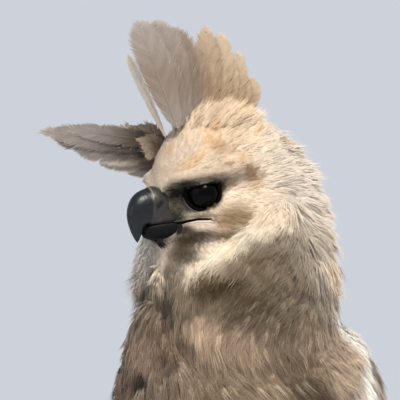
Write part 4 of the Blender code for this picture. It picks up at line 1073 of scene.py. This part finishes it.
# Crest
# Two fans of broad, soft feathers that the wind has blown up from the crown. Each feather is a
# shaft with barbs on both sides, which part and fray along its edge.


def joined(parts):
    """Vertices, faces, tones and UV places of several parts in one."""
    verts, faces, tones, uvs = zip(*parts)
    first = np.cumsum([0] + [len(some) for some in verts[:-1]])
    faces = [found + start for found, start in zip(faces, first)]
    return (np.concatenate(rows) for rows in (verts, faces, tones, uvs))


def feather(place, length, shape, wide, barbs, ragged, tone):
    """One feather: place(share, out, up) maps it, and shape gives its breadth by share of its length."""
    shares, widths = np.array(shape).T
    widths = widths * wide / 2
    steps = np.concatenate([[0], np.cumsum(np.hypot(np.diff(shares) * length, np.diff(widths)))])
    ends = np.linspace(0.02, 1.0, barbs) * steps[-1]
    end_share, end_out = np.interp(ends, steps, shares), np.interp(ends, steps, widths)
    root_share = np.clip(end_share - end_out * 1.15 / length, 0.0, 0.94)
    parts = []
    u = np.array([0.0, 0.36, 0.72, 1.0])
    for hand in (1, -1):
        slip = rng.normal(0, ragged * 0.5, barbs) * length * 0.03
        group = np.cumsum(rng.random(barbs) < 0.07)
        share = root_share[:, None] + (end_share - root_share)[:, None] * u**1.2
        out = end_out[:, None] * u**0.92
        lift = rng.normal(0, 0.00004, (barbs, 1)) * np.ones(4)
        clump = np.array([end_share[group == g].mean() for g in group])
        pull = ragged * 0.30 * (clump - end_share)
        loss = 1 - np.abs(rng.normal(0, ragged * 0.07, barbs))
        share[:, 3] += pull + slip / length
        share[:, 2] += pull * 0.35
        share[:, 3] = share[:, 2] + (share[:, 3] - share[:, 2]) * loss
        out[:, 3] *= loss
        lift[:, 3] += rng.normal(0, 0.00035 * ragged, barbs)
        flat = place(share, hand * out, lift)
        half = np.zeros_like(flat[:, :3])
        half[1:-1] = (flat[2:, :3] - flat[:-2, :3]) / 4
        half[0], half[-1] = half[1], half[-2]
        thin = np.maximum(np.linalg.norm(half, axis=2, keepdims=True), 0.00016)
        verts, faces = strips(flat, unit(half) * thin * 1.12 * -hand)
        order = [0, 1, 2, 0, 1, 2, 3]
        across = hand * out[:, order] / widths.max()
        tones = tone(share[:, order], across) * (1 + rng.normal(0, 0.025, (barbs, 1, 1)))
        uv = np.stack([across * 0.42 + 0.5, np.clip(share[:, order], 0, 1.05) * 0.9 + 0.03], axis=-1)
        parts.append((verts, faces, tones.reshape(-1, 3), uv.reshape(-1, 2)))
    # the shaft
    along = np.linspace(0.0, 1.01, 9)
    rise = np.linspace(0.0005, 0.0002, 9)[None]
    line = place(along[None], np.zeros((1, 9)), rise)
    side = place(along[None], np.full((1, 9), 0.001), rise) - line
    verts, faces = strips(line, (unit(side) * np.linspace(0.0011, 0.0005, 9)[None, :, None])[:, :8])
    tones = tone(along, np.zeros(9)) * np.linspace(1.05, 1.0, 9)[:, None]
    uv = np.stack([np.full(9, 0.5), along * 0.9 + 0.03], axis=-1)
    order = [*range(8), *range(8), 8]
    parts.append((verts, faces, tones[order], uv[order]))
    return joined(parts)


def feather_piece(name, feathers, finish, node):
    """One piece of many feathers, each with a field of the UV map to itself."""
    columns = int(np.ceil(np.sqrt(len(feathers))))
    rows = int(np.ceil(len(feathers) / columns))
    parts = []
    for i, values in enumerate(feathers):
        verts, faces, tones, uv = feather(*values)
        uv = (uv * 0.96 + 0.02 + (i % columns, i // columns)) / (columns, rows)
        parts.append((verts, faces, tones, uv))
    verts, faces, tones, uv = joined(parts)
    piece = leaf_piece(name, verts, faces, np.clip(tones, 0.004, 0.95), uv, finish)
    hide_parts(node)


# front to rear: root, tip (forward, left, up in the head's frame) and width
LEFT_FAN = (
    ((0.0098, 0.0054, 0.0561), (0.0249, -0.0253, 0.1492), 0.033),
    ((0.0016, 0.0058, 0.0606), (0.0107, -0.0208, 0.1482), 0.038),
    ((-0.0055, 0.0078, 0.0635), (-0.0021, -0.0146, 0.1413), 0.038),
    ((-0.0113, 0.0115, 0.0648), (-0.0113, -0.0055, 0.1253), 0.034),
    ((-0.0181, 0.0135, 0.0652), (-0.0274, -0.0005, 0.1395), 0.031),
    ((-0.0253, 0.0182, 0.0664), (-0.0373, 0.0086, 0.1337), 0.029),
    ((-0.0331, 0.0233, 0.0658), (-0.0472, 0.0181, 0.1168), 0.027),
    ((-0.0427, 0.0271, 0.0643), (-0.0559, 0.0272, 0.0941), 0.025),
)
# a feather seen edge on in front of the near fan
EDGE_FEATHER = ((0.0165, -0.0060, 0.0500), (0.0325, -0.0345, 0.1216), 0.009)
RIGHT_FAN = (
    ((-0.0051, -0.0344, 0.0431), (0.0786, -0.0632, 0.0609), 0.020),
    ((-0.0034, -0.0353, 0.0398), (0.0973, -0.0705, 0.0596), 0.026),
    ((-0.0046, -0.0344, 0.0363), (0.0868, -0.0657, 0.0512), 0.028),
    ((-0.0043, -0.0344, 0.0312), (0.0704, -0.0593, 0.0399), 0.026),
    ((-0.0040, -0.0344, 0.0278), (0.0521, -0.0542, 0.0292), 0.022),
    ((-0.0040, -0.0318, 0.0227), (0.0295, -0.0462, 0.0191), 0.016),
)
# short down over the root of the far fan: where it grows, and the tip and width of each
FAR_DOWN_ROOT = (-0.0010, -0.0310, 0.0370)
FAR_DOWN = (
    ((0.0280, -0.0330, 0.0490), 0.016),
    ((0.0260, -0.0310, 0.0410), 0.015),
    ((0.0230, -0.0300, 0.0330), 0.014),
    ((0.0200, -0.0310, 0.0520), 0.015),
    ((0.0400, -0.0520, 0.0590), 0.022),
    ((0.0300, -0.0460, 0.0610), 0.022),
    ((0.0215, -0.0420, 0.0600), 0.022),
    ((0.0130, -0.0390, 0.0610), 0.020),
    ((0.0280, -0.0440, 0.0500), 0.022),
)
# breadth by share of the length; the soft feathers are the ones with frayed tips
CREST_SHAPE = (
    (0.0, 0.16), (0.12, 0.50), (0.35, 0.84), (0.62, 1.0),
    (0.84, 0.94), (0.95, 0.66), (1.01, 0.28), (1.025, 0.0),
)
SOFT_SHAPE = (
    (0.0, 0.16), (0.12, 0.50), (0.35, 0.86), (0.62, 0.98),
    (0.80, 0.84), (0.93, 0.54), (1.02, 0.24), (1.06, 0.0),
)
CREST_FACING = unit(head_way(0.545, 0.839, 0.0))
CREST_LAYER = 0.0026
# bow along a feather and cup across it
CREST_BOW, CREST_CUP = 0.05, 0.05


def crest_place(root, tip, wide, layer):
    root, tip = (from_head(*spot) + CREST_FACING * layer for spot in (root, tip))
    length = np.linalg.norm(tip - root)
    way = unit(tip - root)
    side = unit(np.cross(way, CREST_FACING))
    out = np.cross(side, way)

    def place(share, x, up):
        arch = CREST_BOW * length * 4 * share * (1 - share) - CREST_CUP * x * x / wide + up
        return root + way * (share * length)[..., None] + side * x[..., None] + out * arch[..., None]

    return place, length


def crest_tone(base, dark, light, at):
    """Grey-brown feather that is darker towards its root, with a paler frayed edge."""

    def tone(share, across):
        deep = np.exp(-(((share - at) / 0.28) ** 2))[..., None]
        rim = (fade(0.70, 1.0, np.abs(across)) * 0.45 + fade(0.90, 1.02, share) * 0.35)[..., None]
        colour = linear(*base) * (1 - 0.8 * deep) + linear(*dark) * 0.8 * deep
        streak = 1 + 0.06 * np.sin(38 * share + 9 * across)[..., None]
        return (colour * (1 - rim) + linear(*light) * rim) * streak

    return tone


def crest_feathers(fan, tones, extra, soft_from):
    """Long feathers with a shorter one between each two; from soft_from on they are soft and frayed."""
    feathers = []
    middle = (len(fan) - 1) / 2
    for i, (root, tip, wide) in enumerate(fan):
        shape, ragged = (SOFT_SHAPE, 1.1) if i >= soft_from else (CREST_SHAPE, 0.5)
        placed = crest_place(root, tip, wide, CREST_LAYER * (middle - i))
        feathers.append((*placed, shape, wide, 130, ragged, tones[i]))
        if i < len(fan) - 1:
            next_root, next_tip, _ = fan[i + 1]
            start = (np.array(root) + next_root) / 2
            end = np.array(tip) * 0.55 + np.array(next_tip) * 0.45
            placed = crest_place(start, start + (end - start) * extra, wide, CREST_LAYER * (middle - i - 0.5))
            feathers.append((*placed, shape, wide * 0.96, 110, ragged * 1.4, tones[i + 1]))
    return feathers


crest_plume = painted_finish("crest_plume", 0.75, 0.1)
near_grey = crest_tone((136, 126, 117), (118, 102, 88), (192, 182, 172), 0.42)
near_mauve = crest_tone((130, 116, 105), (112, 94, 78), (184, 170, 156), 0.50)
near_brown = crest_tone((144, 125, 107), (124, 101, 78), (190, 172, 152), 0.45)
near_tan = crest_tone((157, 137, 116), (136, 112, 86), (200, 184, 162), 0.40)
near_buff = crest_tone((170, 150, 126), (146, 122, 94), (212, 196, 174), 0.35)
near_edge = crest_tone((232, 218, 200), (214, 196, 172), (240, 230, 214), 0.1)
far_dark = crest_tone((132, 123, 116), (50, 38, 26), (190, 180, 168), 0.33)
far_pale = crest_tone((178, 166, 154), (96, 78, 60), (222, 210, 198), 0.28)
far_down = crest_tone((156, 139, 120), (134, 115, 94), (176, 158, 138), 0.3)
near_tones = [near_grey, near_grey, near_mauve, near_brown, near_tan, near_buff, near_buff, near_buff]
near_fan = crest_feathers(LEFT_FAN, near_tones, 0.80, 4)
near_fan.append((*crest_place(*EDGE_FEATHER, 0.0), CREST_SHAPE, EDGE_FEATHER[2], 90, 0.4, near_edge))
feather_piece("crest_fan_left", near_fan, crest_plume, "crest_left")
far_fan = crest_feathers(RIGHT_FAN, [far_dark] * 3 + [far_pale] * 3, 0.75, 0)
for tip, wide in FAR_DOWN:
    far_fan.append((*crest_place(FAR_DOWN_ROOT, tip, wide, 0.004), SOFT_SHAPE, wide, 46, 3.6, far_down))
feather_piece("crest_fan_right", far_fan, crest_plume, "crest_right")

# Wings
# Folded wings: long primaries below, then secondaries, greater and median coverts in tiers, each
# feather laid over the next like tiles, and small coverts over the arm.

# how many, root, tips of the first, middle and last down the trunk, angle round the trunk of the
# first and last at root and tip, height at root, at a third and at the tip, step in height, width
WING_TIERS = {
    "primary": (
        7, 0.110, (0.440, 0.515, 0.490), (-36, -8), (10, 40), (0.0020, 0.0048, 0.0052), 0.0012, 0.032,
    ),
    "secondary": (
        10, 0.140, (0.405, 0.420, 0.345), (-20, 46), (12, 72), (0.0040, 0.0110, 0.0125), 0.0012, 0.046,
    ),
    "greater_covert": (
        10, 0.110, (0.262, 0.270, 0.240), (-34, 48), (-24, 64), (0.0060, 0.0166, 0.0186), 0.0012, 0.040,
    ),
    "median_covert": (
        10, 0.070, (0.172, 0.182, 0.170), (-36, 50), (-30, 60), (0.0080, 0.0204, 0.0226), 0.0010, 0.034,
    ),
}
WING_FEATHER = ((0.0, 0.30), (0.12, 0.55), (0.40, 0.92), (0.72, 1.0), (0.90, 0.86), (0.98, 0.50), (1.01, 0.0))


def barred(base, dark, edge, bars, seed, width=0.30, strength=0.75):
    """Grey feather with narrow wavy dark bars and a pale edge and tip."""

    def tone(share, across):
        wave = share * bars + 0.10 * np.sin(7 * across + seed) + 0.06 * np.sin(40 * share + 3 * seed)
        bar = np.exp(-(((wave % 1.0 - 0.5) / width) ** 4))[..., None] * strength
        bar = bar * fade(0.06, 0.20, share)[..., None]
        rim = np.maximum(fade(0.80, 1.0, np.abs(across)) * 0.35, fade(0.955, 0.99, share) * 0.85)[..., None]
        speck = (1 + 0.08 * np.sin(60 * share + 17 * across + seed))[..., None]
        colour = linear(*base) * (1 - bar) + linear(*dark) * bar
        return (colour * (1 - rim) + linear(*edge) * rim) * speck

    return tone


def wing_place(tier, k, side):
    """Where feather k of a tier lies over the wing's shell."""
    count, root, tips, root_turn, tip_turn, height, step, _ = tier
    share_k = k / (count - 1)
    bulge = tips[1] - (tips[0] + tips[2]) / 2
    tip = tips[0] + (tips[2] - tips[0]) * share_k + bulge * 4 * share_k * (1 - share_k)

    def place(share, x, up):
        down = root + (tip - root) * share
        first = np.radians(root_turn[0] + (tip_turn[0] - root_turn[0]) * share)
        final = np.radians(root_turn[1] + (tip_turn[1] - root_turn[1]) * share)
        keys, wide, _, back = np.array(WING_SHELL).T
        radius = (np.interp(down, keys, wide) + np.interp(down, keys, back)) / 2
        spacing = (final - first) / (count - 1) * radius
        rise = np.interp(share, (0, 0.33, 1), height) + up - step * x / spacing
        return shell_point(down, first + (final - first) * share_k + x / radius, rise, side)

    return place, tip - root


wing_plume = painted_finish("wing_plume", 0.7, 0.1)
wing_greys = {
    "primary": ((122, 114, 105), (70, 62, 55), (206, 196, 184), 7),
    "secondary": ((140, 131, 121), (84, 75, 67), (214, 204, 192), 5),
    "greater_covert": ((150, 139, 126), (92, 80, 69), (222, 210, 196), 3),
    "median_covert": ((158, 144, 129), (104, 88, 74), (228, 214, 198), 2),
}
for side, word in SIDES.items():
    feathers = []
    for name, tier in WING_TIERS.items():
        base, dark, edge, bars = wing_greys[name]
        for k in range(tier[0]):
            place, length = wing_place(tier, k, side)
            tint = rng.uniform(0.92, 1.08)
            tone = barred([tint * value for value in base], dark, edge, bars, rng.uniform(0, 6))
            feathers.append((place, length, WING_FEATHER, tier[7], 64 if length > 0.2 else 44, 0.25, tone))
    feather_piece(f"wing_feathers_{word}", feathers, wing_plume, f"wing_{word}")


def covert_shape(points):
    length = 0.017 + 0.012 * fade(0.02, 0.12, round_trunk(points)[0])
    return length, length * 0.55, radians(15)


for side, word in SIDES.items():

    def on_arm(points):
        this_side = (points[:, 0] - NECK_BASE[0]) * side > 0
        return arm_share(points) * this_side * fade(0.15, 0.12, round_trunk(points)[0])

    piece = coat(
        f"plumage_arm_{word}", 3000, on_arm, covert_shape, 11, trunk_spot, 0.06, 1.1, finish=wing_plume
    )

# Tail
# Twelve long barred feathers in a narrow fan under shorter coverts, on a fleshy root.

TAIL_SLOPE = radians(45)
TAIL_ROOT = NECK_BASE + TRUNK_DOWN * 0.432 + TRUNK_BACK * 0.004
TAIL_DOWN = np.array((0, cos(TAIL_SLOPE), -sin(TAIL_SLOPE)))
TAIL_UP = np.array((0, sin(TAIL_SLOPE), cos(TAIL_SLOPE)))
TAIL_FEATHER = 0.375
TAIL_SHAPE = ((0.0, 0.28), (0.10, 0.60), (0.50, 0.94), (0.90, 1.0), (0.97, 0.80), (1.0, 0.42), (1.008, 0.0))


def tail_point(down, out, up):
    down, out, up = np.broadcast_arrays(down, out, up)
    side = np.stack([out, 0 * out, 0 * out], axis=-1)
    return TAIL_ROOT + TAIL_DOWN * down[..., None] + side + TAIL_UP * up[..., None]


def tail_place(k, side):
    """Feather of pair k, counted from the middle, each laid under the one before."""
    level = -0.0016 * (k + (0 if k == 0 and side > 0 else 1))
    length = TAIL_FEATHER * (1 - 0.0030 * k * k)
    fan = radians(1.25) * (k + 0.6)

    def place(share, x, up):
        down = length * share
        out = side * (0.003 + 0.003 * k + down * sin(fan)) + x
        return tail_point(down, out, level + up - 0.02 * side * x)

    return place, length


def covert_place(beside, above):
    length, low, high = (0.095, 0.0150, 0.0115) if above > 0 else (0.115, 0.0160, 0.0240)

    def place(share, x, up):
        rise = above * (low + (high - low) * share - 0.0012 * abs(beside) + up)
        return tail_point(0.010 + length * share, 0.0130 * beside * (1 + 0.35 * share) + above * x, rise)

    return place, length


feathers = []
for k in range(6):
    for side in SIDES:
        tone = barred((150, 142, 132), (74, 66, 60), (216, 208, 196), 8, 0.3 + 0.05 * k, 0.28, 0.85)
        feathers.append((*tail_place(k, side), TAIL_SHAPE, 0.052, 96, 0.2, tone))
for above, *greys in (
    (1, (166, 156, 144), (110, 98, 86), (222, 212, 198)),
    (-1, (226, 216, 200), (190, 178, 160), (240, 232, 220)),
):
    for beside in (-2, -1, 0, 1, 2):
        tone = barred(*greys, 2, beside)
        feathers.append((*covert_place(beside, above), WING_FEATHER, 0.038, 40, 0.6, tone))
feather_piece("tail_feathers", feathers, wing_plume, "tail")

# Legs and feet
# Bare yellow shanks and toes in one scaled skin a leg: horny shields down the front of the shank and
# along the tops of the toes, small round scales and pads elsewhere. The talons are black horn.

SHANK_SHIELD = 0.0098
TOE_SHIELD = 0.0068
LEG_SWELL, LEG_MESH = 0.0007, 0.0011
TOES = ("hind", "inner", "middle", "outer")


def leg_finish():
    """Yellow skin with small round scales that the painted shields hide."""
    finish = painted_finish("leg_yellow", 0.5, specular=0.4)
    nodes, links = finish.node_tree.nodes, finish.node_tree.links
    where = nodes.new("ShaderNodeTexCoord")
    cells = nodes.new("ShaderNodeTexVoronoi")
    cells.feature = "DISTANCE_TO_EDGE"
    cells.inputs["Scale"].default_value = 420
    flat = nodes.new("ShaderNodeVertexColor")
    flat.layer_name = "shield"
    keep = nodes.new("ShaderNodeMath")
    keep.operation = "SUBTRACT"
    keep.inputs[0].default_value = 1.0
    amount = nodes.new("ShaderNodeMapRange")
    amount.inputs["From Max"].default_value = 0.25
    bump = nodes.new("ShaderNodeBump")
    bump.inputs["Distance"].default_value = 0.0006
    links.new(where.outputs["Object"], cells.inputs["Vector"])
    links.new(flat.outputs["Color"], keep.inputs[1])
    links.new(cells.outputs["Distance"], amount.inputs["Value"])
    links.new(amount.outputs["Result"], bump.inputs["Height"])
    links.new(keep.outputs["Value"], bump.inputs["Strength"])
    links.new(bump.outputs["Normal"], nodes["Principled BSDF"].inputs["Normal"])
    return finish


leg_skin = leg_finish()
claw_black = plain_finish("claw_black", linear(26, 24, 24), 0.28, 0.3)
for side, word in SIDES.items():
    parts = [f"shank_{word}"] + [f"toe_{word}_{toe}" for toe in TOES]
    trees = [solid_tree(part) for part in parts]
    bm = merged_solids(parts)
    for v in bm.verts:
        v.co += v.normal * LEG_SWELL
    leg = add_piece(f"leg_skin_{word}", bm)
    remesh(leg, LEG_MESH)
    bm = bmesh.new()
    bm.from_mesh(leg.data)
    smooth(bm, bm.verts, 4)
    bm.normal_update()
    points, normals = places_and_normals(bm.verts)
    owner = np.array([np.argmin([tree.find_nearest(v.co)[3] for tree in trees]) for v in bm.verts])
    shield, raise_by, groove = np.zeros((3, len(points)))
    foot = np.array((SHIFT.x + side * LEG_OUT, SHIFT.y - 0.015, 0.012))
    for i in range(len(parts)):
        if i == 0:
            on_front = fade(0.15, 0.55, -normals[:, 1]) * fade(0.016, 0.028, points[:, 2])
            shields = points[:, 2] / SHANK_SHIELD
        else:
            on_front = fade(0.25, 0.65, normals[:, 2]) * fade(0.006, 0.010, points[:, 2])
            shields = np.linalg.norm((points - foot)[:, :2], axis=1) / TOE_SHIELD
        saw = shields % 1.0
        edge = np.minimum(saw, 1 - saw)
        on_front = on_front * (owner == i)
        raise_by += on_front * 0.0007 * (fade(0.0, 0.18, edge) * (1.0 - 0.35 * saw))
        groove += on_front * fade(0.14, 0.03, edge)
        shield += on_front
    points = points + normals * (raise_by - 0.0005)[:, None]
    points[:, 2] = np.maximum(points[:, 2], 0.0004)
    for v, place in zip(bm.verts, points):
        v.co = place
    bm.to_mesh(leg.data)
    bm.free()
    skin = linear(206, 172, 84) * (1 + 0.10 * mottle(points, 0.010) + 0.06 * mottle(points, 0.004))[:, None]
    skin = skin + (linear(190, 160, 96) - skin) * fade(0.010, 0.002, points[:, 2])[:, None]
    skin = skin * (1 - 0.45 * np.clip(groove, 0, 1))[:, None]
    paint(leg.data, np.clip(skin, 0.003, 1))
    paint(leg.data, np.repeat(np.clip(shield, 0, 1)[:, None], 3, axis=1), "shield")
    leg.data.shade_smooth()
    set_finish(leg, leg_skin)
    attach(leg, "root")
    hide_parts(*parts)
    for toe in TOES:
        node = f"claw_{word}_{toe}"
        bm = bmesh.new()
        bm.from_mesh(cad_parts[node].data)
        talon = add_piece(f"talon_{word}_{toe}", bm)
        subdivide(talon, 1)
        talon.data.shade_smooth()
        set_finish(talon, claw_black)
        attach(talon, "root")
        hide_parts(node)

# Floor, light and camera
# A plain pale floor, soft studio light from the upper right, and a long lens level with the eyes.

bm = bmesh.new()
bmesh.ops.create_grid(bm, x_segments=2, y_segments=2, size=6.0)
floor = add_piece("floor", bm, plain_finish("floor", linear(222, 224, 228), 0.8))

world = bpy.data.worlds.new("studio")
world.use_nodes = True
sky = world.node_tree.nodes["Background"]
sky.inputs["Color"].default_value = (*linear(214, 219, 228), 1)
sky.inputs["Strength"].default_value = 0.9
bpy.context.scene.world = world


def lamp(name, place, aim, size, power, colour=(1, 1, 1)):
    light = bpy.data.lights.new(name, "AREA")
    light.size = size
    light.energy = power
    light.color = colour
    obj = bpy.data.objects.new(name, light)
    obj.location = place
    obj.rotation_euler = (Vector(aim) - Vector(place)).to_track_quat("-Z", "Y").to_euler()
    bpy.context.scene.collection.objects.link(obj)


lamp("key", (0.6, -2.3, 3.2), (0, -0.1, 0.7), 0.8, 118, (1.0, 0.95, 0.88))
lamp("fill", (-2.4, -2.2, 1.4), (0, -0.1, 0.7), 2.0, 12, (0.92, 0.96, 1.0))

# place of the left eye in the picture, and the scale at it
EYE_PIXEL = (203, 193)
METRES_PER_PIXEL = 0.00085
HALF_PICTURE = 200
DISTANCE = 4.0
view = bpy.data.cameras.new("camera")
view.sensor_width = 36
view.sensor_fit = "HORIZONTAL"
near_eye = Vector(EYES[1])
view.lens = view.sensor_width / 2 * (DISTANCE + near_eye.y) / (HALF_PICTURE * METRES_PER_PIXEL)
view.clip_end = 60
camera = bpy.data.objects.new("camera", view)
centre_x = near_eye.x + (HALF_PICTURE - EYE_PIXEL[0]) * METRES_PER_PIXEL
centre_z = near_eye.z + (EYE_PIXEL[1] - HALF_PICTURE) * METRES_PER_PIXEL
camera.location = (centre_x, -DISTANCE, centre_z)
camera.rotation_euler = (radians(90), 0, 0)
bpy.context.scene.collection.objects.link(camera)
bpy.context.scene.camera = camera
bpy.context.scene.view_settings.view_transform = "Standard"
